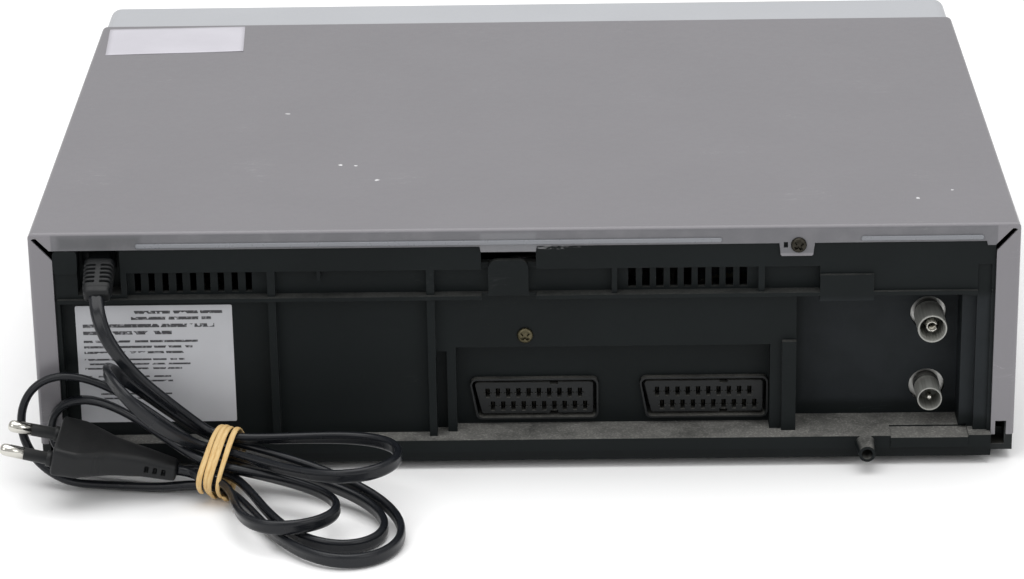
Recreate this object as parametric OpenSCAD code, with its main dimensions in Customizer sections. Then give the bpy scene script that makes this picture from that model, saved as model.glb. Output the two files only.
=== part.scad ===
// Video cassette recorder with rear sockets and a fixed mains lead
// Front faces the low end of Y, the rear panel faces the high end, X runs across, Z up
// The origin is under the middle of the casing, on the surface that the feet stand on

/* [Casing] */
// Width over the steel cover
casing_w = 360; // [350:1:380]
// Height from the feet to the top of the cover
casing_h = 94; // [92:0.5:100]
// Front to back length of the steel cover
cover_depth = 244; // [240:1:260]
// Depth of the front panel ahead of the cover seam
front_depth = 26; // [24:0.5:30]
// How far the hollow peg on the rear lip stands behind the cover
peg_reach = 12; // [10:0.5:16]
// Sheet thickness of the steel cover
sheet = 1; // [0.8:0.1:1.2]
// Outside bend radius of the steel cover
bend_r = 2.5; // [2:0.5:4]
// Outside radius of the folds round the rear edge of the cover
fold_r = 1.6; // [1.2:0.1:1.8]
// Height of the rubber feet below the chassis
foot_h = 3.9; // [3:0.1:6]
// Wall thickness of the moulded plastic parts
wall = 2; // [1.6:0.1:2.4]

/* [Rear panel] */
// Depth of the label bay and of the blank bay
bay_depth = 5; // [4:0.5:7]
// Depth of the plate that carries the two round cornered sockets
socket_plate_depth = 12.5; // [11:0.5:14]
// Depth of the aerial bay
aerial_depth = 18; // [16:0.5:20]
// Height of the shelf under the rear bays
shelf_z = 11.7; // [11:0.1:13]
// Height of the ledge between the bays and the vent row
ledge_z = 66.5; // [64:0.5:68]
// Top of the vent row
vent_top_z = 77.8; // [76:0.2:80]
// Slots in each vent group
vent_count = 9; // [5:1:9]
// Distance from one vent slot to the next
vent_pitch = 5.07; // [4.5:0.01:5.07]
// Contacts in the upper row of each square socket
contact_count = 10; // [10]
// Distance from one socket contact to the next
contact_pitch = 3.81; // [3.81]

/* [Cassette] */
// Width of the cassette that goes in
cassette_w = 188; // [188]
// Depth of the cassette
cassette_d = 104; // [104]
// Thickness of the cassette
cassette_t = 25; // [25]
// How far the holder draws the cassette in
draw_in = 32; // [28:1:32]
// How far the holder then lowers it
lower_by = 25; // [20:1:25]
// Distance between the two reel centres
reel_gap = 92.2; // [92.2]

/* [Deck] */
// Diameter of the head drum
drum_d = 62; // [62]
// Lean of the head drum
drum_lean = 6; // [4:0.5:6]
// Radius of the capstan shaft
capstan_r = 2; // [1.5:0.1:2.5]
// Running clearance between a shaft and its bore
run_fit = 0.05; // [0.03:0.01:0.08]

/* [Front controls] */
// Travel of each front button
button_travel = 1; // [0.6:0.1:1.2]
// How far the buttons stand proud of the front panel
button_proud = 1.2; // [0.8:0.1:1.6]
// Gap round each button
button_gap = 0.4; // [0.3:0.05:0.6]

/* [Mains lead] */
// Width of the flat twin cord
cord_w = 5.4; // [5:0.1:5.4]
// Thickness of the flat twin cord
cord_t = 3.1; // [2.9:0.1:3.1]

/* [Hidden] */
$fn = 48;
eps = 0.01;

half_w = casing_w / 2;
front_y = -(front_depth + cover_depth + peg_reach) / 2;
seam_y = front_y + front_depth;
rear_y = seam_y + cover_depth;
lip_y = rear_y + 3;
peg_y = rear_y + peg_reach;
panel_y = front_y + button_proud;
face_y = rear_y - sheet;

// Colours as the photograph shows them
cover_grey = [0.60, 0.60, 0.62];
panel_silver = [0.70, 0.71, 0.73];
black_plastic = [0.11, 0.125, 0.13];
steel = [0.72, 0.73, 0.74];
dull_nickel = [0.55, 0.55, 0.52];
brass = [0.80, 0.66, 0.34];
board_green = [0.20, 0.36, 0.22];
rubber_black = [0.07, 0.07, 0.07];
cream_gear = [0.85, 0.83, 0.76];

// A rounded outline: each corner of the list p gets an arc of radius r in n steps
function unit(v) = v / norm(v);
function corner_arc(a, b, c, r, n) =
  let (u = unit(a - b))
  let (v = unit(c - b))
  let (h = acos(u * v) / 2)
  let (m = b + unit(u + v) * r / sin(h))
  let (s = b + u * r / tan(h))
  let (e = b + v * r / tan(h))
  [for (i = [0:n]) m + r * unit((s - m) * (1 - i / n) + (e - m) * i / n)];
function rounded(p, r, n = 4) =
  let (k = len(p))
  [for (i = [0:k - 1]) each corner_arc(p[(i + k - 1) % k], p[i], p[(i + 1) % k], r, n)];
function box_outline(w, h) = [[-w / 2, -h / 2], [w / 2, -h / 2], [w / 2, h / 2], [-w / 2, h / 2]];

// A block between two values on each axis
module block(x, y, z) {
  translate([min(x[0], x[1]), min(y[0], y[1]), min(z[0], z[1])])
    cube([abs(x[1] - x[0]), abs(y[1] - y[0]), abs(z[1] - z[0])]);
}
// An outline drawn in X and Z, extruded from y0 to y1
module slab_y(y0, y1) {
  translate([0, y1, 0]) rotate([90, 0, 0]) linear_extrude(y1 - y0) children();
}
// An outline drawn in Y and Z, extruded from x0 to x1
module slab_x(x0, x1) {
  translate([x0, 0, 0]) rotate([90, 0, 90]) linear_extrude(x1 - x0) children();
}
// A cylinder along Y from y0 to y1
module rod_y(x, z, r, y0, y1) {
  translate([x, y1, z]) rotate([90, 0, 0]) cylinder(r = r, h = y1 - y0);
}
// A cylinder along X from x0 to x1
module rod_x(y, z, r, x0, x1) {
  translate([x0, y, z]) rotate([0, 90, 0]) cylinder(r = r, h = x1 - x0);
}
// A cylinder along Z from z0 to z1
module post(x, y, r, z0, z1) {
  translate([x, y, z0]) cylinder(r = r, h = z1 - z0);
}
// A ring along Z
module ring(x, y, r, bore, z0, z1) {
  difference() {
    post(x, y, r, z0, z1);
    post(x, y, bore, z0 - 1, z1 + 1);
  }
}

// Casing

// Outline of the bent cover, t inside its outer face
module cover_outline(t) {
  r = bend_r - t + eps;
  w = half_w - t;
  h = casing_h - t;
  translate([-w, 0]) square([2 * w, h - r]);
  translate([-w + r, 0]) square([2 * (w - r), h]);
  for (s = [-1, 1]) translate([s * (w - r), h - r]) circle(r = r);
}
cover_low_z = 10.5;
flange_low_z = 87.2;
side_flange = 8.6;
mitre_gap = 1.2;
// Pressed beads that stiffen the top flange: radius and how far their axis is inside the outer face
bead_r = 0.7;
bead_in = 0.3;
bead_z = 88.5;
// What the rear folds of the cover take off its square edges
module fold_cuts() {
  y = rear_y - fold_r;
  difference() {
    block([-half_w - 1, half_w + 1], [y, rear_y + 1], [casing_h - fold_r, casing_h + 1]);
    rod_x(y, casing_h - fold_r, fold_r, -half_w - 2, half_w + 2);
  }
  for (s = [-1, 1]) difference() {
    block([s * (half_w - fold_r), s * (half_w + 1)], [y, rear_y + 1], [cover_low_z - 2, casing_h + 1]);
    post(s * (half_w - fold_r), y, fold_r, cover_low_z - 3, casing_h + 2);
  }
}
// Top rear flange with its centre tab, screw tab and corner tongue
module top_flange_outline() {
  m = mitre_gap / 2;
  x1 = half_w - side_flange;
  polygon([
    [-half_w + 1.2 + m, casing_h - 0.6], [half_w - 1.2 - m, casing_h - 0.6],
    [x1 - m + 1.5, flange_low_z], [16, flange_low_z], [15.6, 85], [-4.4, 85], [-4.8, flange_low_z],
    [-92.6, flange_low_z], [-93.1, 82.7], [-93.6, 82.2], [-104.4, 82.2], [-104.9, 82.7],
    [-105.4, flange_low_z], [-x1 + 3.8, flange_low_z], [-x1 + 3.4, flange_low_z - 1.6],
    [-x1 + m, flange_low_z - 1.6]
  ]);
}
screw_x = -99.6;
screw_z = 86.5;
side_screw_y = 84;
side_screw_z = 20;
screw_hole_r = 1.5;
module top_cover() {
  color(cover_grey) difference() {
    union() {
      difference() {
        slab_y(seam_y, rear_y) cover_outline(0);
        slab_y(seam_y - 1, rear_y + 1) translate([0, -1]) cover_outline(sheet);
        block([-half_w - 1, half_w + 1], [seam_y - 1, rear_y + 1], [-1, cover_low_z]);
      }
      slab_y(rear_y - sheet, rear_y) top_flange_outline();
      for (s = [-1, 1]) slab_y(rear_y - sheet, rear_y) polygon([
        [s * (half_w - 0.5), cover_low_z], [s * (half_w - 0.5), casing_h - 1.6],
        [s * (half_w - side_flange), 83.4], [s * (half_w - side_flange), cover_low_z]
      ]);
      rod_x(rear_y - bead_in, bead_z, bead_r, -71.7, 140.6);
      rod_x(rear_y - bead_in, bead_z, bead_r, -166.4, -122.3);
      // Dimples that seat the side screws
      for (s = [-1, 1]) translate([s * half_w, side_screw_y, side_screw_z]) rotate([0, -90 * s, 0])
        cylinder(r1 = 6.5, r2 = 5, h = 2.4);
    }
    for (s = [-1, 1]) translate([s * (half_w + eps), side_screw_y, side_screw_z]) rotate([0, -90 * s, 0]) {
      cylinder(r1 = 5.7, r2 = 4.2, h = 1.6 + 2 * eps);
      cylinder(r = 1.7, h = 5);
    }
    fold_cuts();
    rod_y(screw_x, screw_z, 1.8, rear_y - 3, rear_y + 1);
    // Slot beside the rear screw and the slots for the chassis hooks
    block([screw_x + 3.9, screw_x + 5.4], [rear_y - 3, rear_y + 1], [85.4, 87.6]);
    for (s = [-1, 1]) block([s * 173, s * 177], [rear_y - 3, rear_y + 1], [cover_low_z - 1, 15.9]);
  }
}
// A screw head with a cross recess on Z, its shank below
module cross_screw(head_r, head_h, shank_r, shank_l) {
  difference() {
    union() {
      cylinder(r1 = head_r, r2 = head_r * 0.8, h = head_h);
      translate([0, 0, -shank_l]) cylinder(r = shank_r, h = shank_l + eps);
    }
    for (a = [0, 90]) rotate([0, 0, a]) translate([-head_r * 0.6, -0.35, head_h - 0.9])
      cube([head_r * 1.2, 0.7, 1]);
  }
}
module cover_screws() {
  color([0.16, 0.16, 0.17]) {
    translate([screw_x, rear_y, screw_z]) rotate([-90, 0, 0]) cross_screw(2.9, 1.7, 1.45, 6);
    for (s = [-1, 1]) translate([s * (half_w - 1.6), side_screw_y, side_screw_z])
      rotate([0, 90 * s, 0]) cross_screw(3.6, 1.5, 1.45, 5);
  }
}
chassis_top = foot_h + 2.4;
chassis_rear_y = rear_y - 9;
module bottom_chassis() {
  floor_slots = 11;
  color(black_plastic) difference() {
    union() {
      block([-half_w + 0.4, half_w - 0.4], [seam_y, rear_y - sheet - 0.3], [foot_h, cover_low_z - 0.3]);
      block([-half_w + 1.4, half_w - 1.4], [seam_y, rear_y - sheet - 0.3], [foot_h, 26]);
      // Hooks that come through the rear slots of the cover
      for (s = [-1, 1]) block([s * 173.6, s * 176.4], [rear_y - 4, rear_y + 0.6], [foot_h + 3, 15.1]);
    }
    difference() {
      block([-half_w + 3.4, half_w - 3.4], [seam_y - 1, rear_y + 2], [chassis_top, 30]);
      // Walls and bosses that stay inside the tray
      block([-half_w, half_w], [chassis_rear_y - wall, chassis_rear_y], [0, 9.6]);
      for (s = [-1, 1]) block([s * 172.6, s * 178], [side_screw_y - 6, side_screw_y + 6], [0, 30]);
      for (p = board_posts) post(p[0], p[1], 4, 0, board_z);
      for (p = deck_posts) post(p[0], p[1], 4.5, 0, deck_z);
    }
    for (s = [-1, 1]) translate([s * (half_w + 1), side_screw_y, side_screw_z]) rotate([0, -90 * s, 0]) {
      cylinder(r = 7.2, h = 3.5);
      cylinder(r = screw_hole_r, h = 12);
    }
    block([-171.4, 171.4], [chassis_rear_y, rear_y + 2], [-1, 30]);
    // Air slots under the power supply and under the deck
    for (i = [0:floor_slots - 1]) {
      block([112, 150], [-60 + 12 * i, -56 + 12 * i], [0, chassis_top + 1]);
      block([-150, -112], [-60 + 12 * i, -56 + 12 * i], [0, chassis_top + 1]);
    }
  }
}
module feet() {
  color(rubber_black) for (x = [-140, 140]) for (y = [-96, 96]) translate([x, y, 0]) rotate_extrude()
    polygon([[0, 0], [9, 0], [10, 1], [10, foot_h], [0, foot_h]]);
}

// Rear panel: bays are given as x from, x to, z from, z to, depth
tub_half_w = 171.2;
vent_bays = [
  [93.7, 144.8, 4.3], [35.7, 90.8, 4.3], [-31.9, 32.8, 4.3], [-85.2, -33.8, 4.3], [-107.6, -87.5, 4.3]
];
lower_bays = [
  [93.7, 169.6, bay_depth], [35.7, 90.8, bay_depth], [-94.3, 32.8, bay_depth], [-160, -99.5, aerial_depth]
];
// Low steps beside the aerial bay, over the divider next to it and beside the socket plate:
// x from, x to, z from, z to, depth
side_steps = [
  [-165, -159.9, shelf_z, 65.5, 5], [-170, -164.9, shelf_z, vent_top_z, 2],
  [-99.6, -94.2, 47.2, ledge_z, 5], [-99.6, -94.2, shelf_z, 47.3, 3], [29, 32.9, shelf_z, 44, 9]
];
exit_x = 155.2;
exit_bay = [147, 162.7, 69.5, 86.9];
plate_bay = [-90, 25.6, 45.5];
socket_x = [-2.85, -65.75];
socket_z = 22.25;
aerial_x = -149.1;
aerial_z = 52;
output_z = 22.9;
peg_x = -125;
peg_z = 8.4;
plate_y = rear_y - socket_plate_depth;
aerial_y = rear_y - aerial_depth;
lip_boss = 6;
lip_cells = 8;
lip_cell_pitch = 36;
lip_cell_y = [chassis_rear_y, lip_y - wall];
lip_cell_z = [foot_h + 1.2, shelf_z - wall];

// Pocket of a bay, open to the rear
module pocket(x0, x1, z0, z1, depth) {
  block([x0, x1], [rear_y - depth, rear_y + 10], [z0, z1]);
}
// Outside of a bay's walls
module tub(x0, x1, z0, z1, depth) {
  block([x0 - wall, x1 + wall], [rear_y - depth - wall, face_y], [z0 - wall, z1 + wall]);
}
// Outline of a socket shell, with its slanted end, drawn g outside the contact block
module socket_outline(g) {
  polygon(rounded([
    [22 + g, 6.2 + g], [-22 - g, 6.2 + g], [-22 - g, -6.2 - g], [19.2 + g, -6.2 - g]
  ], 1 + g * 0.7));
}
module rear_panel() {
  color(black_plastic) difference() {
    union() {
      block([-tub_half_w, tub_half_w], [face_y - wall, face_y], [shelf_z - wall, casing_h - 2.2]);
      block([-tub_half_w, tub_half_w], [chassis_rear_y + 0.3, lip_y], [foot_h - 0.4, shelf_z]);
      for (b = vent_bays) tub(b[0], b[1], 68, vent_top_z, b[2]);
      for (b = lower_bays) tub(b[0], b[1], shelf_z, ledge_z, b[2]);
      tub(plate_bay[0], plate_bay[1], shelf_z, plate_bay[2], socket_plate_depth);
      for (b = side_steps) tub(b[0], b[1], b[2], b[3], b[4]);
      tub(exit_bay[0], exit_bay[1], exit_bay[2], exit_bay[3], 9);
      // Boss behind the rear screw
      rod_y(screw_x, screw_z, 4, rear_y - 9, face_y);
      // Hollow peg on the lower lip
      translate([peg_x, peg_y, peg_z]) rotate([90, 0, 0]) cylinder(r1 = 3.05, r2 = 3.9, h = peg_y - lip_y + 1);
      // Ledge under the vent row
      block([-170.4, 170.4], [rear_y - 6, rear_y + 0.4], [ledge_z, 68]);
    }
    for (b = vent_bays) pocket(b[0], b[1], 68, vent_top_z, b[2]);
    for (b = lower_bays) pocket(b[0], b[1], shelf_z, ledge_z, b[2]);
    pocket(plate_bay[0], plate_bay[1], shelf_z, plate_bay[2], socket_plate_depth);
    pocket(exit_bay[0], exit_bay[1], exit_bay[2], exit_bay[3], 9);
    for (b = side_steps) pocket(b[0], b[1], b[2], b[3], b[4]);
    // Recess of the cover clip
    pocket(-4.4, 15.6, ledge_z, 86, 3);
    // Vent slots
    for (i = [0:vent_count - 1]) {
      block([140 - i * vent_pitch, 142.3 - i * vent_pitch], [rear_y - 9, rear_y], [69, 77.3]);
      block([-40.7 - i * vent_pitch, -37.9 - i * vent_pitch], [rear_y - 9, rear_y], [69, 77.3]);
    }
    // Holes for the sockets, the cord and the screws
    for (x = socket_x) translate([x, 0, socket_z]) slab_y(plate_y - 9, plate_y + 2) socket_outline(2.1);
    rod_y(aerial_x, aerial_z, 6.6, aerial_y - 9, aerial_y + 2);
    rod_y(aerial_x, output_z, 6.6, aerial_y - 9, aerial_y + 2);
    rod_y(peg_x, peg_z, 2, lip_y - 3, peg_y + 1);
    rod_y(screw_x, screw_z, screw_hole_r, rear_y - 8, rear_y + 1);
    rod_y(0, 50.2, 1.4, rear_y - 20, rear_y - bay_depth + 1);
    block([exit_x - 6.2, exit_x + 6.2], [rear_y - 14, rear_y - 8], [77.2, 86]);
    // Cells in the back of the lower lip, with ribs between them; the peg keeps its boss
    block([-168, peg_x - lip_boss], lip_cell_y, lip_cell_z);
    for (i = [0:lip_cells - 1]) {
      x0 = peg_x + lip_boss + i * lip_cell_pitch;
      block([x0, x0 + lip_cell_pitch - wall], lip_cell_y, lip_cell_z);
    }
    // The shelf steps down along the aerial bay
    block([-163, -134.4], [rear_y - 6.7, lip_y + 1], [shelf_z - 0.6, shelf_z + 1]);
  }
  color(black_plastic) {
    // Spring clip for the cover with a rounded top, on a web from the bay behind it
    slab_y(rear_y - 2.6, rear_y - 0.4) translate([5.75, 0]) polygon(concat(
      [[-7.35, 67.8], [7.35, 67.8]],
      [for (a = [0:15:90]) [3.85 + 3.5 * cos(a), 78.1 + 3.5 * sin(a)]],
      [for (a = [90:15:180]) [-3.85 + 3.5 * cos(a), 78.1 + 3.5 * sin(a)]]
    ));
    block([3.5, 8], [rear_y - 5, rear_y - 2], [68, 80]);
    // Small overhang above the aerial bay and the short rib in the second vent bay
    block([-127.1, -107.6], [rear_y - 3, rear_y + 0.4], [64.6, 74.7]);
    block([74.2, 75.6], [rear_y - 5, rear_y - 1.4], [74, vent_top_z + 0.5]);
    // Raised pad on the lower lip
    block([-162.7, -134.4], [lip_y - 1, lip_y + 0.5], [7.2, shelf_z - 0.6]);
    // Corner block beside the cord entry
    slab_y(rear_y - 3, rear_y - 0.2) translate([166.9, 82.4])
      polygon(rounded(box_outline(8.9, 9), 1.6));
  }
}

// Front panel, display and controls

panel_wall = 2.4;
panel_back = panel_y + panel_wall;
panel_half_w = half_w - 0.8;
panel_low_z = 5;
slot_half_w = cassette_w / 2 + 4;
slot_low_z = 55.5;
slot_top_z = 86.5;
window_half_w = 70;
window_z = [27, 49];
board_face_y = panel_y + 11.3;
// Each button: x and z of its middle, width, height
power_at = [-158, 74, 20, 12];
eject_at = [-124, 70, 26, 12];
channel_up_at = [-158, 46, 16, 9];
channel_down_at = [-158, 34, 16, 9];
rewind_at = [117, 62, 20, 10];
play_at = [141, 62, 22, 14];
forward_at = [164.5, 62, 19, 10];
pause_at = [141, 42, 22, 10];
record_at = [117, 42, 12, 10];
front_buttons = [
  power_at, eject_at, channel_up_at, channel_down_at, rewind_at, play_at, forward_at, pause_at, record_at
];
board_bosses = [[-171, 20], [-104, 20], [104, 20], [171, 20], [-171, 86], [-108, 86], [108, 86], [171, 84]];
hinge_y = panel_y + 2.8;
hinge_z = 84.6;
door_half_w = slot_half_w - 0.4;
hinge_pin_r = 1.5;

// Casing outline of the front panel, t inside its outer face
module panel_outline(t) {
  translate([0, (casing_h + panel_low_z) / 2]) polygon(rounded(
    box_outline(2 * (panel_half_w - t), casing_h - panel_low_z - 2 * t), 5 - t, 6));
}
module button_outline(b, grow) {
  translate([b[0], b[1]]) polygon(rounded(box_outline(b[2] + 2 * grow, b[3] + 2 * grow), 1.5 + grow));
}
module front_panel() {
  frame_x = 6;
  color(panel_silver) difference() {
    union() {
      difference() {
        slab_y(panel_y, seam_y) panel_outline(0);
        slab_y(panel_back, seam_y + 1) panel_outline(panel_wall);
      }
      for (b = board_bosses) rod_y(b[0], b[1], 3, panel_back - 1, board_face_y);
      // Lugs that carry the door pins
      for (s = [-1, 1]) block([s * (slot_half_w + 0.4), s * (slot_half_w + 3.6)],
        [panel_back - 1, hinge_y + 3.4], [hinge_z - 3.4, hinge_z + 3.4]);
      // Raised band under the display
      slab_y(panel_y - 0.6, panel_y + 1) translate([0, 17]) polygon(rounded(box_outline(330, 8), 2));
    }
    block([-slot_half_w, slot_half_w], [panel_y - 1, panel_back + 1], [slot_low_z, slot_top_z]);
    slab_y(panel_y - 1, panel_back + 1) translate([0, (window_z[0] + window_z[1]) / 2])
      polygon(rounded(box_outline(2 * window_half_w + 0.2, window_z[1] - window_z[0] + 0.2), 2));
    for (b = front_buttons) slab_y(panel_y - 1, panel_back + 1) button_outline(b, button_gap);
    for (s = [-1, 1]) translate([s * (slot_half_w + 2), 0, 0])
      rod_x(hinge_y, hinge_z, hinge_pin_r + run_fit, -3, 3);
    for (b = board_bosses) rod_y(b[0], b[1], 1.2, board_face_y - 7, board_face_y + 1);
    // Shallow relief frame round the cassette slot
    difference() {
      block([-slot_half_w - frame_x, slot_half_w + frame_x], [panel_y - 1, panel_y + 0.6],
        [slot_low_z - 3, slot_top_z + 2.5]);
      block([-slot_half_w - frame_x + 1, slot_half_w + frame_x - 1], [panel_y - 2, panel_y + 1],
        [slot_low_z - 2, slot_top_z + 1.5]);
    }
  }
}
module display_window() {
  color([0.10, 0.08, 0.09]) {
    slab_y(panel_y, panel_back) translate([0, (window_z[0] + window_z[1]) / 2])
      polygon(rounded(box_outline(2 * window_half_w, window_z[1] - window_z[0]), 2));
    slab_y(panel_back, panel_back + 1) translate([0, (window_z[0] + window_z[1]) / 2])
      polygon(rounded(box_outline(2 * window_half_w + 4, window_z[1] - window_z[0] + 4), 3));
  }
}
module display_tube() {
  tube_z = [29, 47];
  color([0.35, 0.42, 0.42]) difference() {
    union() {
      block([-60, 60], [board_face_y - 5, board_face_y - 1.2], tube_z);
      block([-63, 63], [board_face_y - 2.4, board_face_y], [tube_z[0] - 1.4, tube_z[1] + 1.4]);
      // Sealed tip of the glass
      rod_x(board_face_y - 3.2, 38, 1.4, 60 - eps, 64);
    }
    block([-57, 57], [board_face_y - 6, board_face_y - 4.6], [tube_z[0] + 2, tube_z[1] - 2]);
  }
}
module front_board() {
  color(board_green) {
    difference() {
      union() {
        block([-175, 175], [board_face_y, board_face_y + 1.5], [11, 52]);
        for (s = [-1, 1]) block([s * 104.5, s * 175], [board_face_y, board_face_y + 1.5], [50, 89]);
      }
      for (b = board_bosses) rod_y(b[0], b[1], 1.6, board_face_y - 1, board_face_y + 3);
    }
    // A push switch behind each button
    for (b = front_buttons) {
      block([b[0] - 3, b[0] + 3], [board_face_y - 2.8, board_face_y + eps], [b[1] - 3, b[1] + 3]);
      rod_y(b[0], b[1], 1.6, board_face_y - 3.3, board_face_y - 2.7);
    }
  }
}
module cassette_door() {
  lower_z = slot_low_z + 0.6;
  upper_z = slot_top_z - 0.5;
  color([0.16, 0.16, 0.17]) {
    slab_y(panel_y + 0.2, panel_y + 2.2) translate([0, (lower_z + upper_z) / 2])
      polygon(rounded(box_outline(2 * door_half_w, upper_z - lower_z), 1));
    for (s = [-1, 1]) {
      block([s * (door_half_w - 2), s * door_half_w], [panel_y + 1, hinge_y + 0.5], [hinge_z - 1.8, hinge_z + 1.2]);
      rod_x(hinge_y, hinge_z, hinge_pin_r, s > 0 ? door_half_w - 2 : -slot_half_w - 3.4,
        s > 0 ? slot_half_w + 3.4 : -door_half_w + 2);
    }
    // Stiffening ribs on the back
    for (z = [lower_z + 6, lower_z + 14]) block([-90, 90], [panel_y + 2, panel_y + 3], [z, z + 1.2]);
  }
}
// A button: its cap, the flange that keeps it in the panel and the stem that meets its switch
module front_button(b, tint) {
  color(tint) {
    slab_y(front_y, panel_back + 0.5) button_outline(b, 0);
    slab_y(panel_back + 0.3, panel_back + 1.5) button_outline(b, 1.2);
    rod_y(b[0], b[1], 1.8, panel_back + 1, board_face_y - 3.3 - 0.3 - button_travel);
  }
}
button_grey = [0.32, 0.33, 0.35];
module power_button() { front_button(power_at, button_grey); }
module eject_button() { front_button(eject_at, button_grey); }
module rewind_button() { front_button(rewind_at, button_grey); }
module play_button() { front_button(play_at, button_grey); }
module forward_button() { front_button(forward_at, button_grey); }
module pause_button() { front_button(pause_at, button_grey); }
module record_button() { front_button(record_at, [0.55, 0.12, 0.10]); }
module channel_up_button() { front_button(channel_up_at, button_grey); }
module channel_down_button() { front_button(channel_down_at, button_grey); }

// Tape deck

deck_z = 22;
deck_top = deck_z + 1.2;
deck_half_w = 108;
deck_y = [-112, 80];
deck_posts = [[-98, -104], [98, -104], [-98, 62], [98, 62]];
board_z = 7.8;
board_top = board_z + 1.6;
board_posts = [
  [-164, -52], [-118, -52], [-164, 40], [116, -52], [164, -52], [116, 72], [164, 72],
  [-90, 90], [0, 90], [90, 90], [160, 92]
];
drum_at = [0, 44];
capstan_at = [64, 9];
clutch_at = [0, -30];
reel_y = -58.5;
cam_at = [-85, 30];
pinch_at = [82, 24];
pinch_arm_l = 13.4;
pinch_angle = 150;
tension_at = [-66, -30];
guide_x = 42;
guide_y = -8;
guide_travel = 40;
gear_z = [26, 29];
reel_gear_r = 22;
idler_gear_r = 16.8;
idler_reach = 28.5;
shaft_r = 2;
pin_r = 1.5;
module at(p) { translate([p[0], p[1], 0]) children(); }

// A toothed outline: tip radius, teeth and tooth depth
module gear_outline(tip_r, teeth, depth) {
  pitch = 360 / teeth;
  polygon([for (i = [0:teeth - 1]) for (k = [[0, tip_r - depth], [0.3, tip_r], [0.6, tip_r], [0.9, tip_r - depth]])
    k[1] * [cos((i + k[0]) * pitch), sin((i + k[0]) * pitch)]]);
}
// A straight slot between two points of a plane, r is half its width
module slot(a, b, r) {
  d = b - a;
  translate(a) circle(r = r);
  translate(b) circle(r = r);
  translate(a) rotate(atan2(d[1], d[0])) translate([0, -r]) square([norm(d), 2 * r]);
}
module deck_plate() {
  color(steel) difference() {
    union() {
      translate([0, 0, deck_z]) linear_extrude(1.2) difference() {
        translate([-deck_half_w, deck_y[0]]) square([2 * deck_half_w, deck_y[1] - deck_y[0]]);
        for (s = [-1, 1]) slot([s * guide_x, guide_y - 1], [s * guide_x, guide_y + guide_travel + 1], shaft_r + 0.4);
        for (s = [-1, 1]) translate([s * 76, -84]) polygon(rounded(box_outline(26, 20), 3));
        translate([0, -90]) polygon(rounded(box_outline(70, 18), 3));
        translate([32, -24]) polygon(rounded(box_outline(20, 26), 3));
      }
      // Folded edges
      for (s = [-1, 1]) block([s * (deck_half_w - 1.2), s * deck_half_w], deck_y, [deck_z - 6, deck_top]);
      // Riveted shafts
      for (s = [-1, 1]) post(s * reel_gap / 2, reel_y, shaft_r, deck_z, 41);
      post(clutch_at[0], clutch_at[1], shaft_r, 7.4, 30);
      post(cam_at[0], cam_at[1], shaft_r, deck_z, 29.5);
      post(pinch_at[0], pinch_at[1], shaft_r, deck_z, 29.5);
      post(tension_at[0], tension_at[1], pin_r, deck_z, 28);
      // Stirrup under the deck that holds the lower end of the clutch shaft
      at(clutch_at) {
        block([-20, 4], [-4, 4], [7.2, 8.6]);
        block([-4, 4], [-20, 4], [7.2, 8.6]);
        block([-20, -18.8], [-4, 4], [7.2, deck_z + eps]);
        block([-4, 4], [-20, -18.8], [7.2, deck_z + eps]);
      }
    }
    at(capstan_at) translate([0, 0, deck_z - 1]) cylinder(r = 5.1, h = 4);
    // Ring of the clutch opening, round its shaft
    ring(clutch_at[0], clutch_at[1], 4.4, shaft_r, deck_z - 1, deck_top + 1);
    for (p = deck_posts) post(p[0], p[1], 1.6, deck_z - 1, deck_top + 1);
  }
}
// Frame of the tilted drum: its foot stands on the deck, local Z runs along its axis
drum_base_z = 30;
lower_drum_h = 13;
upper_drum_h = 12.7;
module drum_place() {
  translate([drum_at[0], drum_at[1], drum_base_z]) rotate([-drum_lean, 0, 0]) children();
}
module lower_drum() {
  r = drum_d / 2;
  color([0.78, 0.78, 0.77]) difference() {
    union() {
      drum_place() rotate_extrude() polygon([
        [0, 0], [r - 1, 0], [r, 1], [r, lower_drum_h], [0, lower_drum_h]
      ]);
      intersection() {
        post(drum_at[0], drum_at[1], r - 4, deck_top, drum_base_z + 8);
        drum_place() translate([0, 0, -20]) cylinder(r = r - 1, h = 24);
      }
    }
    drum_place() translate([0, 0, -12]) cylinder(r = 3 + run_fit, h = 40);
    // Step in the wall that guides the lower edge of the tape
    drum_place() translate([0, 0, 3]) difference() {
      cylinder(r = r + 1, h = lower_drum_h);
      translate([0, 0, -1]) cylinder(r = r - 0.4, h = lower_drum_h + 2);
    }
  }
}
module upper_drum() {
  r = drum_d / 2 - 0.4;
  z0 = lower_drum_h + 0.35;
  z1 = lower_drum_h + upper_drum_h;
  color([0.84, 0.84, 0.83]) drum_place() {
    rotate_extrude() polygon([
      [0, -2], [3, -2], [3, z0], [r - 1, z0], [r, z0 + 0.6], [r, z1 - 0.6], [r - 0.6, z1],
      [22, z1], [22, z1 + 2], [26, z1 + 2], [26, z1 + 8], [25, z1 + 9], [10, z1 + 9], [10, z1 + 5], [0, z1 + 5]
    ]);
    // Clamp screws of the rotor
    for (a = [0:120:240]) rotate([0, 0, a]) translate([6, 0, z1 + 5 - eps]) cylinder(r = 1.6, h = 1.4);
  }
}
bearing_z = [20.2, 28];
module capstan_bearing() {
  color(brass) translate([capstan_at[0], capstan_at[1], 0]) difference() {
    union() {
      post(0, 0, 5, bearing_z[0], bearing_z[1]);
      post(0, 0, 6.9, deck_top, deck_top + 1.6);
    }
    post(0, 0, capstan_r + run_fit, 0, 60);
    for (a = [30:120:270]) rotate([0, 0, a]) translate([5.9, 0, deck_top + 0.8]) cylinder(r = 0.6, h = 2);
  }
}
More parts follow.
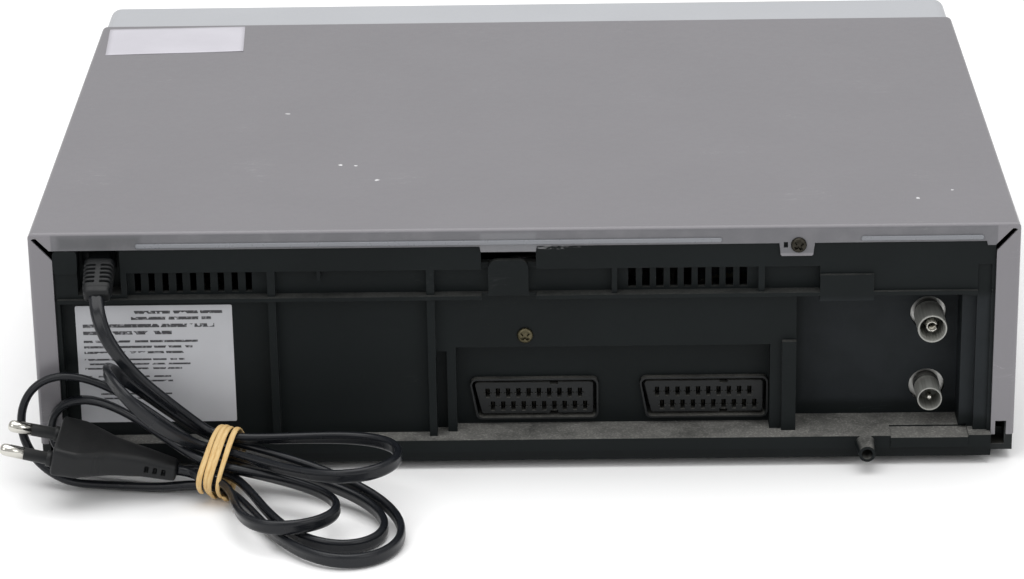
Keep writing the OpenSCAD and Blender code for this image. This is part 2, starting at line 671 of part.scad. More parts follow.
// Pulley profile with a belt groove of radius r, bore b, from z0 up, 2.9 high
module pulley_profile(r, b, z0) {
  polygon([
    [b, z0], [r + 1.2, z0], [r + 1.2, z0 + 0.5], [r, z0 + 0.8], [r, z0 + 2.6], [r + 1.2, z0 + 2.9], [r + 1.2, z0 + 3.4],
    [b, z0 + 3.4]
  ]);
}
flywheel_pulley_r = 8.2;
clutch_pulley_r = 13;
pulley_z = 9.2;
module capstan_flywheel() {
  color([0.66, 0.66, 0.65]) at(capstan_at) {
    rotate_extrude() polygon([
      [0, pulley_z - 0.6], [capstan_r, pulley_z - 0.6], [capstan_r, 50], [0, 50]
    ]);
    rotate_extrude() pulley_profile(flywheel_pulley_r, capstan_r - 0.1, pulley_z);
    rotate_extrude() polygon([
      [capstan_r - 0.1, 12.4], [8, 12.4], [8, 14], [18, 14], [18, 13], [23.4, 13], [24, 13.6], [24, 18.8], [23.4, 19.4],
      [18, 19.4], [18, 17.6], [7, 17.6], [7, 19.4], [capstan_r - 0.1, 19.4]
    ]);
  }
}
module clutch_pulley() {
  color([0.30, 0.30, 0.31]) at(clutch_at) difference() {
    union() {
      rotate_extrude() pulley_profile(clutch_pulley_r, shaft_r + run_fit, pulley_z);
      post(0, 0, 4, pulley_z, gear_z[1]);
      translate([0, 0, gear_z[0]]) linear_extrude(gear_z[1] - gear_z[0]) gear_outline(11.4, 28, 1.8);
    }
    post(0, 0, shaft_r + run_fit, 0, 60);
  }
}
// Outline of a belt round two circles with their outer tangents
module belt_outline(r1, r2) {
  d = capstan_at - clutch_at;
  a = atan2(d[1], d[0]);
  b = acos((r2 - r1) / norm(d));
  polygon(concat(
    [for (i = [0:16]) clutch_at + r2 * [cos(a + b + (360 - 2 * b) * i / 16), sin(a + b + (360 - 2 * b) * i / 16)]],
    [for (i = [0:12]) capstan_at + r1 * [cos(a - b + 2 * b * i / 12), sin(a - b + 2 * b * i / 12)]]
  ));
}
module drive_belt() {
  gap = 0.35;
  color(rubber_black) translate([0, 0, pulley_z + 1.15]) linear_extrude(1.1) difference() {
    belt_outline(flywheel_pulley_r + gap + 1, clutch_pulley_r + gap + 1);
    belt_outline(flywheel_pulley_r + gap, clutch_pulley_r + gap);
  }
}
module idler_arm() {
  color(steel) at(clutch_at) difference() {
    union() {
      translate([0, 0, 23.6]) linear_extrude(1.4) slot([0, 0], [0, -idler_reach], 4);
      post(0, 0, 7.4, 23.6, 25);
      post(0, -idler_reach, pin_r, 24, gear_z[1] + 0.8);
    }
    post(0, 0, 4.7, 20, 60);
  }
}
module idler_gear() {
  color(cream_gear) translate([clutch_at[0], clutch_at[1] - idler_reach, 0]) difference() {
    union() {
      translate([0, 0, gear_z[0]]) linear_extrude(gear_z[1] - gear_z[0]) gear_outline(idler_gear_r, 42, 1.8);
      post(0, 0, 4, gear_z[0] - 0.6, gear_z[1]);
    }
    post(0, 0, pin_r + run_fit, 0, 60);
    ring(0, 0, idler_gear_r - 4, 6, gear_z[1] - 0.8, gear_z[1] + 1);
  }
}
// A reel table: toothed flange, spindle with six splines, bore for its fixed shaft
module reel_table(x) {
  color([0.24, 0.24, 0.25]) translate([x, reel_y, 0]) difference() {
    union() {
      rotate_extrude() polygon([
        [0, 23.6], [5, 23.6], [5, gear_z[0]], [19, gear_z[0]], [19, gear_z[1]], [10.5, gear_z[1]], [10.5, 30.5],
        [8, 30.5], [8, 39.6], [6, 42], [0, 42]
      ]);
      translate([0, 0, gear_z[0]]) linear_extrude(gear_z[1] - gear_z[0]) gear_outline(reel_gear_r, 54, 1.8);
      for (a = [0:60:300]) rotate([0, 0, a]) block([7, 9.6], [-0.7, 0.7], [30.4, 39.2]);
    }
    post(0, 0, shaft_r + run_fit, 0, 60);
  }
}
module supply_reel() { reel_table(-reel_gap / 2); }
module takeup_reel() { reel_table(reel_gap / 2); }
// A loading guide: base on the deck, pin through the slot with a washer, roller post
module loading_guide(x) {
  color(dull_nickel) translate([x, guide_y, 0]) {
    translate([0, 0, deck_top + 0.35]) linear_extrude(3.4) polygon(rounded(box_outline(10, 14), 2));
    post(0, 0, shaft_r, deck_z - 2, deck_top + 1);
    post(0, 0, 3.8, deck_z - 1.7, deck_z - 0.4);
    post(0, 3, 1.8, deck_top + 3, 49);
    translate([0, 3, 0]) rotate_extrude() polygon([
      [0, 31], [4, 31], [4, 32], [3, 32.4], [3, 45.6], [4, 46], [4, 47], [0, 47]
    ]);
    translate([0, -4, 26]) rotate([8, 0, 0]) cylinder(r = 1.3, h = 20);
  }
}
module supply_guide() { loading_guide(-guide_x); }
module takeup_guide() { loading_guide(guide_x); }
roller_at = pinch_at + pinch_arm_l * [cos(pinch_angle), sin(pinch_angle)];
roller_r = 8;
module pinch_arm() {
  color(steel) difference() {
    union() {
      translate([0, 0, 25]) linear_extrude(1.8) slot(pinch_at, roller_at, 4);
      post(pinch_at[0], pinch_at[1], 4.6, deck_top + 0.4, 28.8);
      post(roller_at[0], roller_at[1], pin_r, 26, 49.5);
      post(roller_at[0], roller_at[1], 3, 26, 30.4);
    }
    post(pinch_at[0], pinch_at[1], shaft_r + run_fit, 0, 60);
  }
}
module pinch_roller() {
  color(rubber_black) at(roller_at) difference() {
    rotate_extrude() polygon([
      [1, 31], [4, 31], [4, 31.8], [roller_r - 0.5, 31.8], [roller_r, 32.3], [roller_r, 46.5], [roller_r - 0.5, 47],
      [4, 47], [4, 48], [1, 48]
    ]);
    post(0, 0, pin_r + run_fit, 0, 60);
  }
}
tension_post = [-62, -4];
module tension_arm() {
  color(steel) difference() {
    union() {
      translate([0, 0, 24.6]) linear_extrude(1.6) slot(tension_at, tension_post, 3);
      post(tension_at[0], tension_at[1], 3.6, deck_top + 0.4, 27.4);
      post(tension_post[0], tension_post[1], 2, 25, 49);
      post(tension_post[0], tension_post[1], 3, 46, 47);
    }
    post(tension_at[0], tension_at[1], pin_r + run_fit, 0, 60);
  }
}
// A fixed head: foot on the deck, post, and a block with a rounded face towards the tape
module tape_head(p, w, top) {
  at(p) {
    block([-5, 5], [-4, 4], [deck_top, deck_top + 2.4]);
    block([-2.5, 2.5], [-2, 2.5], [deck_top, 34]);
    intersection() {
      block([-w / 2, w / 2], [-4, 4], [33, top]);
      post(0, 2, 6, 30, 60);
    }
  }
}
module erase_head() { color(dull_nickel) tape_head([-56, 15], 8, 48); }
module audio_head() {
  color([0.76, 0.74, 0.68]) {
    tape_head([53, 17], 8, 49);
    // Adjusting plate under the head with its three screws
    block([47.5, 58.5], [12, 22], [29, 30.2]);
    for (p = [[49.2, 13.6], [56.8, 13.6], [53, 20.3]]) post(p[0], p[1], 1.1, deck_top + 2, 32);
  }
}
module loading_motor() {
  color([0.30, 0.30, 0.31]) {
    block([-104, -72], [54, 63], [deck_top, 44]);
    rod_x(69, 34, 8.5, -103, -76);
    rod_x(69, 34, 3, -106, -102);
    for (x = [-99, -77]) block([x - 4, x + 4], [60, 78], [deck_top, 26]);
  }
}
module cam_gear() {
  color(cream_gear) at(cam_at) difference() {
    union() {
      translate([0, 0, 25]) linear_extrude(3) gear_outline(22, 60, 1.6);
      post(0, 0, 5, deck_top + 0.4, 29.4);
    }
    post(0, 0, shaft_r + run_fit, 0, 60);
    // Cam track on the upper face, wide enough for a follower
    translate([2.5, 0, 0]) ring(0, 0, 15, 11.6, 26.6, 30);
    for (a = [200, 240]) rotate([0, 0, a]) translate([17.6, 0, 20]) cylinder(r = 1.4, h = 10);
  }
}

// Cassette carriage

bracket_x = [100.5, 101.7];
slide_x = [98.3, 99.3];
holder_half_w = cassette_w / 2 + 2.5;
carriage_pin_r = 1.5;
pin_gap = 0.35;
holder_floor = [55.3, 56.3];
holder_top = [holder_floor[1] + cassette_t + 1, holder_floor[1] + cassette_t + 2];
// Rear face of the cassette against its stops, and how far it stands out of the holder towards the door
cassette_rear_y = -32;
cassette_overhang = 28.2;
holder_y = [cassette_rear_y - cassette_d + cassette_overhang, cassette_rear_y + 1];
holder_pin_z = 62;
holder_pin_y = [-95, -45];
slide_pin_z = 74;
slide_pin_y = [-98, -42];
module carriage_brackets() {
  color(steel) {
    for (s = [-1, 1]) {
      slab_x(min(s * bracket_x[0], s * bracket_x[1]), max(s * bracket_x[0], s * bracket_x[1])) difference() {
        polygon([
          [-108, deck_top], [2, deck_top], [2, 60], [-14, 89.2], [-98, 89.2], [-108, 78]
        ]);
        for (y = slide_pin_y) slot([y, slide_pin_z], [y + draw_in, slide_pin_z], carriage_pin_r + pin_gap);
        translate([-88, 44]) polygon(rounded(box_outline(26, 28), 4));
        translate([-48, 44]) polygon(rounded(box_outline(34, 28), 4));
      }
      block([s * bracket_x[0], s * 107], [-104, -2], [deck_top, deck_top + 1.2]);
    }
    // Tie across the top, its rear edge folded up
    block([-bracket_x[1], bracket_x[1]], [-28, -15], [88, 89.2]);
    block([-bracket_x[0], bracket_x[0]], [-16.2, -15], [88, 91.6]);
  }
}
tie_y = -37;
tie_z = 85.2;
module carriage_slides() {
  color([0.20, 0.20, 0.21]) {
    for (s = [-1, 1]) {
      slab_x(min(s * slide_x[0], s * slide_x[1]), max(s * slide_x[0], s * slide_x[1])) difference() {
        polygon([[-104, 33], [-35, 33], [-34, 34], [-34, 85], [-40, 85], [-44, 79], [-104, 79]]);
        for (y = holder_pin_y) slot([y, holder_pin_z - lower_by], [y, holder_pin_z], carriage_pin_r + pin_gap);
        translate([-70, 56]) polygon(rounded(box_outline(30, 24), 4));
      }
      for (y = slide_pin_y) rod_x(y, slide_pin_z, carriage_pin_r, s > 0 ? slide_x[1] - 0.5 : -bracket_x[1] - 1,
        s > 0 ? bracket_x[1] + 1 : -slide_x[1] + 0.5);
    }
    // Cross rod that keeps the two slides in step, above the holder
    rod_x(tie_y, tie_z, 1.2, -slide_x[1], slide_x[1]);
    for (s = [-1, 1]) rod_x(tie_y, tie_z, 2.4, s > 0 ? slide_x[0] - 1 : -slide_x[1],
      s > 0 ? slide_x[1] : -slide_x[0] + 1);
  }
}
module cassette_holder() {
  inner_w = holder_half_w - 1;
  color(steel) {
    difference() {
      union() {
        block([-holder_half_w, holder_half_w], holder_y, holder_floor);
        block([-holder_half_w, holder_half_w], holder_y, holder_top);
        for (s = [-1, 1]) block([s * inner_w, s * holder_half_w], holder_y, [holder_floor[0], holder_top[1]]);
      }
      // The floor is open in the middle for the reel tables and the tape path
      block([-80, 80], [holder_y[0] + 2, holder_y[1] + 1], [holder_floor[0] - 1, holder_floor[1] + 1]);
      // Openings in the top
      for (s = [-1, 1]) translate([s * 50, -66, holder_top[0] - 1]) linear_extrude(4)
        polygon(rounded(box_outline(60, 40), 5));
    }
    // Stops behind the cassette, side pins
    for (s = [-1, 1]) block([s * 82, s * (inner_w + eps)], [holder_y[1] - 1, holder_y[1]], [holder_floor[0], 64]);
    for (s = [-1, 1]) for (y = holder_pin_y) rod_x(y, holder_pin_z, carriage_pin_r,
      s > 0 ? holder_half_w - 0.5 : -slide_x[1] - 0.6, s > 0 ? slide_x[1] + 0.6 : -holder_half_w + 0.5);
  }
}

// Electronics

module chip(x, y, w, d) {
  block([x - w / 2, x + w / 2], [y - d / 2, y + d / 2], [board_top - eps, board_top + 3]);
}
module main_board() {
  color(board_green) {
    difference() {
      union() {
        block([-172, 172], [83, 117], [board_z, board_top]);
        block([-172, -111], [-60, 84], [board_z, board_top]);
      }
      for (p = board_posts) post(p[0], p[1], 1.6, 0, 20);
    }
    chip(-60, 94, 36, 12);
    chip(-8, 93, 42, 12);
    chip(52, 94, 28, 10);
    chip(-140, -30, 30, 12);
    chip(-142, 10, 22, 22);
    for (x = [90:14:146]) translate([x, 102, board_top - eps]) cylinder(r = 4, h = 12);
    for (y = [-50:12:-38]) translate([-122, y, board_top - eps]) cylinder(r = 3, h = 9);
    // Shield box round the picture circuit
    difference() {
      block([-168, -120], [28, 54], [board_top - eps, board_top + 14]);
      block([-167.4, -120.6], [28.6, 53.4], [board_top - 1, board_top + 13.4]);
    }
  }
}
module power_board() {
  color([0.62, 0.50, 0.30]) {
    difference() {
      block([112, 172], [-60, 81], [board_z, board_top]);
      for (p = board_posts) post(p[0], p[1], 1.6, 0, 20);
    }
    // Heat sink with upright fins, and the fuse in its clips
    block([114, 117], [22, 66], [board_top - eps, 44]);
    for (y = [24:6:66]) block([116, 126], [y - 0.8, y + 0.8], [board_top - eps, 42]);
    rod_x(76, 15, 2.6, 134, 154);
    for (x = [135, 149]) block([x, x + 4], [73.6, 78.4], [board_top - eps, 14]);
  }
}
module transformer() {
  color([0.34, 0.30, 0.26]) {
    block([122, 164], [-44, -6], [board_top + 2, 50]);
    block([127, 159], [-56, 6], [board_top + 5, 45]);
    for (s = [-1, 1]) block([143 + s * 13, 143 + s * 17], [-50, 0], [board_top, board_top + 6]);
  }
}
// Each capacitor: x and y of its axis, radius, height
capacitors = [[138, 24, 9, 38], [160, 24, 9, 38], [138, 48, 8, 30], [158, 47, 8, 30], [150, 66, 5, 20]];
module power_capacitors() {
  color([0.15, 0.17, 0.30]) for (c = capacitors)
    translate([c[0], c[1], board_top]) rotate_extrude() polygon([
      [0, 0], [c[2] - 0.6, 0], [c[2], 0.6], [c[2], 2], [c[2] - 0.5, 2.6], [c[2], 3.2], [c[2], c[3] - 0.8],
      [c[2] - 0.8, c[3]], [c[2] - 2, c[3]], [c[2] - 2, c[3] - 0.6], [0, c[3] - 0.6]
    ]);
}
tuner_x = [-166, -128];
tuner_rear_y = aerial_y - wall - 0.6;
module tuner_can() {
  color(dull_nickel) difference() {
    union() {
      block(tuner_x, [62, tuner_rear_y], [board_top + 1, 63]);
      for (y = [66, 104]) for (x = tuner_x) block([x - 0.5, x + 0.5], [y - 2, y + 2], [board_top, board_top + 2]);
    }
    // Tuning holes in the lid side
    for (z = [20:10:50]) rod_x(84, z, 2.2, tuner_x[1] - 2, tuner_x[1] + 2);
    for (z = [25:10:45]) rod_x(94, z, 1.6, tuner_x[1] - 2, tuner_x[1] + 2);
  }
}

// Rear sockets

socket_front_y = plate_y + 2.2;
socket_rim_y = plate_y + 1;
contact_z = [24.2, 18.9];
// Centre of each contact: row 0 is the upper one
function contact_at(row, i) = [17.15 - row * contact_pitch / 2 - i * contact_pitch, contact_z[row]];
module square_socket(x) {
  color(black_plastic) translate([x, 0, 0]) difference() {
    union() {
      translate([0, 0, socket_z]) slab_y(plate_y - 12, socket_front_y) socket_outline(2);
      block([-26, 26], [plate_y - 16, plate_y - wall - 0.1], [board_top + 2, 32]);
      for (s = [-1, 1]) block([s * 18, s * 24], [plate_y - 14, plate_y - 6], [board_top, board_top + 3]);
    }
    // Groove for the shell of the plug, round the contact block
    translate([0, 0, socket_z]) slab_y(plate_y - 9, socket_front_y + 1) difference() {
      socket_outline(1.3);
      socket_outline(0);
    }
    translate([0, 0, socket_z]) slab_y(socket_rim_y, socket_front_y + 1) socket_outline(0.1);
    for (row = [0, 1]) for (i = [0:contact_count - 1]) {
      c = contact_at(row, i);
      block([c[0] - 0.8, c[0] + 0.8], [plate_y - 7, socket_front_y + 1], [c[1] - 1.9, c[1] + 1.9]);
      block([c[0] - 1.5, c[0] + 1.5], [socket_rim_y - 0.8, socket_front_y + 1], [c[1] - 0.3, c[1] + 0.3]);
    }
    // Key notches in the upper and lower edges of the block
    for (z = [socket_z + 6.2, socket_z - 6.2]) block([-9, -6], [plate_y - 8, socket_front_y], [z - 0.9, z + 0.9]);
  }
}
module socket_one() { square_socket(socket_x[0]); }
module socket_two() { square_socket(socket_x[1]); }
module socket_contacts() {
  color([0.80, 0.70, 0.42]) for (x = socket_x) for (row = [0, 1]) for (i = [0:contact_count - 1]) {
    c = contact_at(row, i);
    block([x + c[0] - 0.4, x + c[0] + 0.4], [plate_y - 7, plate_y - 2.5], [c[1] - 1.5, c[1] + 1.5]);
  }
}
module aerial_socket() {
  color(dull_nickel) translate([aerial_x, 0, aerial_z]) rotate([-90, 0, 0]) translate([0, 0, tuner_rear_y])
    difference() {
      rotate_extrude() polygon([
        [0, 0], [6.4, 0], [6.4, 4.2], [5.5, 4.2], [5.5, 18.6], [4.75, 18.6], [4.75, 6], [0, 6]
      ]);
      translate([0, 0, 2]) cylinder(r = 1.5, h = 20);
    }
}
module output_socket() {
  color(dull_nickel) translate([aerial_x, 0, output_z]) rotate([-90, 0, 0]) translate([0, 0, tuner_rear_y])
    difference() {
      rotate_extrude() polygon([
        [0, 0], [6.4, 0], [6.4, 4.2], [4.7, 4.2], [4.7, 15.6], [4.3, 16], [4.1, 16], [4.1, 6], [0, 6]
      ]);
      translate([0, 0, 2]) cylinder(r = 1.3, h = 20);
    }
}
// Centre contacts: a split tube in the upper socket, a solid pin in the lower one
module aerial_contacts() {
  color([0.76, 0.70, 0.52]) {
    translate([aerial_x, 0, aerial_z]) difference() {
      rod_y(0, 0, 1.45, tuner_rear_y + 2, rear_y - 4);
      rod_y(0, 0, 0.9, tuner_rear_y + 7, rear_y);
      block([-0.3, 0.3], [tuner_rear_y + 9, rear_y], [-2, 2]);
    }
    translate([aerial_x, 0, output_z]) {
      rod_y(0, 0, 1.25, tuner_rear_y + 2, rear_y - 7);
      translate([0, rear_y - 7 - eps, 0]) rotate([-90, 0, 0]) cylinder(r1 = 1.25, r2 = 0.6, h = 1);
    }
  }
}
module socket_screw() {
  color(brass) translate([0, rear_y - bay_depth, 50.2]) rotate([-90, 0, 0]) cross_screw(3, 1.8, 1.35, 6);
}

// Mains lead: relief, free stretch, hank, band and plug

// The relief leaves the wall pointing down, its thick end stands in the exit bay
relief_tilt = 25;
relief_l = 22;
lead_exit = [exit_x, peg_y, 73.6];
relief_dir = [0, cos(relief_tilt), -sin(relief_tilt)];
module strain_relief() {
  color(rubber_black) {
    translate(lead_exit - relief_l * relief_dir) rotate([-relief_tilt, 0, 0]) {
      intersection() {
        translate([0, 0, -6]) linear_extrude(12) difference() {
          polygon([[-5.65, 0], [-4.5, relief_l], [4.5, relief_l], [5.65, 0]]);
          for (s = [-1, 1]) for (i = [0:4]) translate([s * 4.6 - 2, 3.2 + 3.4 * i]) square([4, 1.6]);
        }
        slab_x(-8, 8) polygon([[0, -4.2], [relief_l, -3.3], [relief_l, 3.3], [0, 4.2]]);
      }
      // Closed core behind the grooves
      slab_x(-3.2, 3.2) polygon([[0, -3.4], [relief_l, -2.6], [relief_l, 2.6], [0, 3.4]]);
    }
    // Neck through the wall and the flange behind it
    block([exit_x - 6, exit_x + 6], [rear_y - 12, rear_y - 6.4], [77.5, 85.7]);
    block([exit_x - 8, exit_x + 8], [rear_y - 14, rear_y - 11.2], [75, 88]);
  }
}

// Hank: a lead folded into long lobes that all pass through one waist, under the band.
// A lobe is tip, bulge, lean of its plane, turn; the first points right, the next left, and so on
lobes = [
  [[46.5, 43, 22], 40.5, 19, 0],
  [[150, 25, 48.6], 39.3, 1, -19],
  [[50, 80, 3], 53.5, 43, 0],
  [[188.7, 14.1, 27.1], 48, 68, 10],
  [[55.7, 70.7, 2.9], 42.7, 50, 0],
  [[174.8, 3.6, 21.3], 33.3, 88, 15],
  [[76.3, 70.4, 10.1], 41.8, 63, 0]
];
// Place of each strand in the waist: steps across, layers up
strand_slots = [
  [-1.5, 0.5], [-0.5, 0.5], [-1.5, -0.5], [1.5, -0.5], [-0.5, -0.5], [0.5, -0.5], [0.5, 0.5], [1.5, 0.5]
];
waist = [111.6, 22.9, 13.3];
strand_step = 5.8;
strand_layer = 7;
waist_run = 34;
lobe_rings = 12;
behind = [0, rear_y, 0];
bundle_dir = unit([-1, 0.3, -0.1]);
across_seed = [0, cos(45), -sin(45)];
waist_across = unit(across_seed - bundle_dir * (across_seed * bundle_dir));
waist_up = cross(waist_across, bundle_dir);
function slot_offset(j) =
  strand_slots[j][0] * strand_step * waist_across + strand_slots[j][1] * strand_layer * waist_up;
function lobe_side(j) = j % 2 == 0 ? 1 : -1;
function lobe_across(j) =
  let (a = lobes[j][2])
  let (b = lobes[j][3])
  lobe_side(j) > 0 ? [sin(a), cos(a), 0] : [sin(b), cos(a) * cos(b), -sin(a) * cos(b)];
function lobe_up(j) = lobe_side(j) > 0 ? [0, 0, 1] : [0, sin(lobes[j][2]), cos(lobes[j][2])];
// Point f of the way round lobe j: out along the bundle, bulging to both sides, and back
function lobe_point(j, f) =
  let (side = lobe_side(j))
  let (c = sin(180 * f))
  let (s = -side * cos(180 * f))
  let (g = f * f * (3 - 2 * f))
  let (out = side * waist_run * bundle_dir)
  let (base = (1 - g) * slot_offset(j) + g * slot_offset(j + 1))
  waist + c * out + c * c * (lobes[j][0] - waist - out) + (1 - c * c) * base
    + lobes[j][1] * s * c * c * lobe_across(j);
// A point that stays at least h above the surface that the casing stands on
function above_floor(p, h) = [p[0], p[1], max(p[2], h)];
function lobe_wide(j, f) =
  let (c = sin(180 * f))
  (1 - c * c) * waist_up + c * c * lobe_up(j);
lobe_count = len(lobes);
hank_start = waist + slot_offset(0);
hank_stop = waist + slot_offset(lobe_count);
plug_face = [173.3, 18.5, 18.1];
plug_tail = [128, 26.5, 10.4];
plug_axis = unit(plug_face - plug_tail);
straight = cord_w;
hank_line = [
  behind + hank_start,
  behind + hank_start + straight * bundle_dir,
  for (j = [0:lobe_count - 1]) for (i = [j == 0 ? 1 : 0:lobe_rings - 1])
    behind + above_floor(lobe_point(j, i / lobe_rings), cord_w / 2 + 0.06),
  behind + hank_stop,
  behind + hank_stop - 0.7 * straight * bundle_dir,
  behind + plug_tail - straight * plug_axis,
  behind + plug_tail
];
hank_wide = [
  waist_up,
  waist_up,
  for (j = [0:lobe_count - 1]) for (i = [j == 0 ? 1 : 0:lobe_rings - 1]) lobe_wide(j, i / lobe_rings),
  waist_up, waist_up, waist_up, waist_up
];
// Route of the free stretch from the relief to the waist, chosen by eye; Y is measured from the cover
lead_route = [
  [exit_x, 12, 73.6], [exit_x, 17.5, 69.6], [154, 21.5, 63], [149, 23.5, 56], [139.5, 24, 46.8],
  [129.5, 22.3, 37], [120.5, 18.8, 27.4], [114.9, 18.2, 22.9]
];
lead_points = [for (p = lead_route) behind + p, behind + hank_start];
// A smooth curve through the points p, n steps between neighbours
function tangent_at(p, i) = (p[min(i + 1, len(p) - 1)] - p[max(i - 1, 0)]) / 2;
function curve_point(a, b, ta, tb, f) =
  (2 * f * f * f - 3 * f * f + 1) * a + (f * f * f - 2 * f * f + f) * ta
  + (3 * f * f - 2 * f * f * f) * b + (f * f * f - f * f) * tb;
function curve(p, n) = [
  for (i = [0:len(p) - 2]) for (k = [0:n - 1])
    curve_point(p[i], p[i + 1], tangent_at(p, i), tangent_at(p, i + 1), k / n),
  p[len(p) - 1]
];
lead_line = curve(lead_points, 2);
lead_wide = [for (i = [0:len(lead_line) - 1])
  let (f = i / (len(lead_line) - 1))
  (1 - f) * [-1, 0, 0] + f * waist_up];

// Sections of the flat cord: width along the first axis, thickness along the second
hank_section = [
  [cord_w / 2, 0], [(cord_w - cord_t) / 2, cord_t / 2], [-(cord_w - cord_t) / 2, cord_t / 2],
  [-cord_w / 2, 0], [-(cord_w - cord_t) / 2, -cord_t / 2], [(cord_w - cord_t) / 2, -cord_t / 2]
];
edge_r = cord_t / 2 / cos(22.5);
lead_section = [for (k = [0:7])
  let (a = 22.5 + 45 * k)
  [edge_r * cos(a) + (k < 2 || k > 5 ? 1 : -1) * (cord_w / 2 - cord_t / 2), edge_r * sin(a)]];
// A tube: line of centres, wide direction and section; t0 and t1 are its end directions
function ring_dir(p, i, t0, t1) =
  i == 0 ? t0 : i == len(p) - 1 ? t1 : unit(p[i + 1] - p[i - 1]);
module tube(p, wide, section, t0, t1) {
  m = len(section);
  n = len(p);
  rings = [for (i = [0:n - 1])
    let (t = ring_dir(p, i, t0, t1))
    let (u = unit(wide[i] - t * (wide[i] * t)))
    let (v = cross(t, u))
    for (s = section) p[i] + s[0] * u + s[1] * v];
  sides = [for (i = [0:n - 2]) for (k = [0:m - 1])
    let (a = i * m + k)
    let (b = i * m + (k + 1) % m)
    each [[a, a + m, b + m], [a, b + m, b]]];
  caps = [for (k = [1:m - 2]) each [[0, k, k + 1], [(n - 1) * m, (n - 1) * m + k + 1, (n - 1) * m + k]]];
  polyhedron(points = rings, faces = concat(sides, caps));
}
function path_length(p) = [for (i = [1:len(p) - 1]) norm(p[i] - p[i - 1])] * [for (i = [1:len(p) - 1]) 1];
// Least gap between stretches of the hank: three points across the width, two to each step
gap_skip = 4;
gap_points = [for (i = [0:len(hank_line) - 2]) for (f = [0, 0.5]) for (e = [-1, 0, 1])
  (1 - f) * hank_line[i] + f * hank_line[i + 1]
  + e * (cord_w - cord_t) / 2 * unit((1 - f) * hank_wide[i] + f * hank_wide[i + 1])];
function hank_gap() =
  let (skip = 3 * gap_skip)
  min([for (i = [0:len(gap_points) - 1 - skip]) for (k = [i + skip:len(gap_points) - 1])
    norm(gap_points[i] - gap_points[k])]) - cord_t;
module mains_cord_run() {
  color(rubber_black) tube(lead_line, lead_wide, lead_section, relief_dir, bundle_dir);
}
module mains_cord_hank() {
  echo(least_gap = hank_gap(), hank_length = path_length(hank_line), run_length = path_length(lead_line));
  color(rubber_black) tube(hank_line, hank_wide, hank_section, bundle_dir, plug_axis);
}
// Rubber band: three turns round the waist, one tube
band_r = 0.8;
band_size = [12.4, 8.4];
band_turns = 3;
band_rings = 20;
band_pitch = 3.6;
function squared(v) = sign(v) * sqrt(abs(v));
band_line = [for (i = [0:band_turns * band_rings])
  let (a = 360 * i / band_rings)
  above_floor(behind + waist + band_size[0] * squared(cos(a)) * waist_across + band_size[1] * squared(sin(a)) * waist_up
    + band_pitch * (i / band_rings - band_turns / 2) * bundle_dir, band_r + 0.05)];
band_section = [for (k = [0:5]) band_r * [cos(60 * k), sin(60 * k)]];
module rubber_band() {
  color([0.85, 0.69, 0.42]) tube(band_line, [for (p = band_line) bundle_dir], band_section,
    waist_up, waist_up);
}
// Local frame of the plug: X from the cord to the pins, Y across the pins
plug_l = norm(plug_face - plug_tail);
plug_across_seed = [0, -cos(10), sin(10)];
plug_across = unit(plug_across_seed - plug_axis * (plug_across_seed * plug_axis));
plug_turn = atan2(plug_axis[1], plug_axis[0]);
plug_rise = -asin(plug_axis[2]);
plug_side = [-sin(plug_turn), cos(plug_turn), 0];
plug_over = cross(plug_axis, plug_side);
plug_roll = atan2(plug_across * plug_over, plug_across * plug_side);
module plug_place() {
  translate(behind + plug_tail) rotate([plug_roll, plug_rise, plug_turn]) children();
}
module plug_body() {
  color(rubber_black) plug_place() difference() {
    intersection() {
      translate([0, 0, -6]) linear_extrude(12) polygon(rounded([
        [0, -4.2], [16, -5.5], [31, -12.6], [plug_l, -13.5], [plug_l, 13.5], [31, 12.6], [16, 5.5], [0, 4.2]
      ], 1.2));
      translate([0, 14, 0]) rotate([90, 0, 0]) linear_extrude(28) polygon(rounded([
        [0, -3.6], [18, -4.6], [plug_l, -5], [plug_l, 5], [18, 4.6], [0, 3.6]
      ], 1));
    }
    // Grip grooves near the cord end
    for (x = [3.5, 7.5, 11.5]) for (s = [-1, 1]) {
      block([x, x + 1.6], [-10, 10], [s * 3.2, s * 8]);
      block([x, x + 1.6], [s * 3.9, s * 10], [-8, 8]);
    }
  }
}
module plug_pins() {
  pin_l = 19;
  color([0.68, 0.66, 0.58]) plug_place() for (s = [-1, 1]) translate([plug_l, s * 9.3, 0]) rotate([0, 0, -1.65 * s])
    rotate([0, 90, 0]) rotate_extrude() polygon([
      [0, 0.3], [2, 0.3], [2, pin_l - 1.4], [1.7, pin_l - 0.6], [1.1, pin_l - 0.15], [0, pin_l]
    ]);
}

top_cover();
cover_screws();
bottom_chassis();
feet();
rear_panel();
front_panel();
display_window();
display_tube();
front_board();
cassette_door();
power_button();
eject_button();
rewind_button();
play_button();
forward_button();
pause_button();
record_button();
channel_up_button();
channel_down_button();
deck_plate();
lower_drum();
upper_drum();
capstan_bearing();
capstan_flywheel();
clutch_pulley();
drive_belt();
idler_arm();
idler_gear();
supply_reel();
takeup_reel();
supply_guide();
takeup_guide();
pinch_arm();
pinch_roller();
tension_arm();
erase_head();
audio_head();
loading_motor();
cam_gear();
carriage_brackets();
carriage_slides();
cassette_holder();
main_board();
power_board();
transformer();
power_capacitors();
tuner_can();
socket_one();
socket_two();
socket_contacts();
aerial_socket();
output_socket();
aerial_contacts();
socket_screw();
strain_relief();
mains_cord_run();
mains_cord_hank();
rubber_band();
plug_body();
plug_pins();
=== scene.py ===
"""Visual model of a video cassette recorder, seen from behind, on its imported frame."""

import logging
import math
from collections.abc import Callable, Sequence
from dataclasses import dataclass, field
from enum import Enum

import bpy
import numpy as np
from mathutils import Matrix, Vector


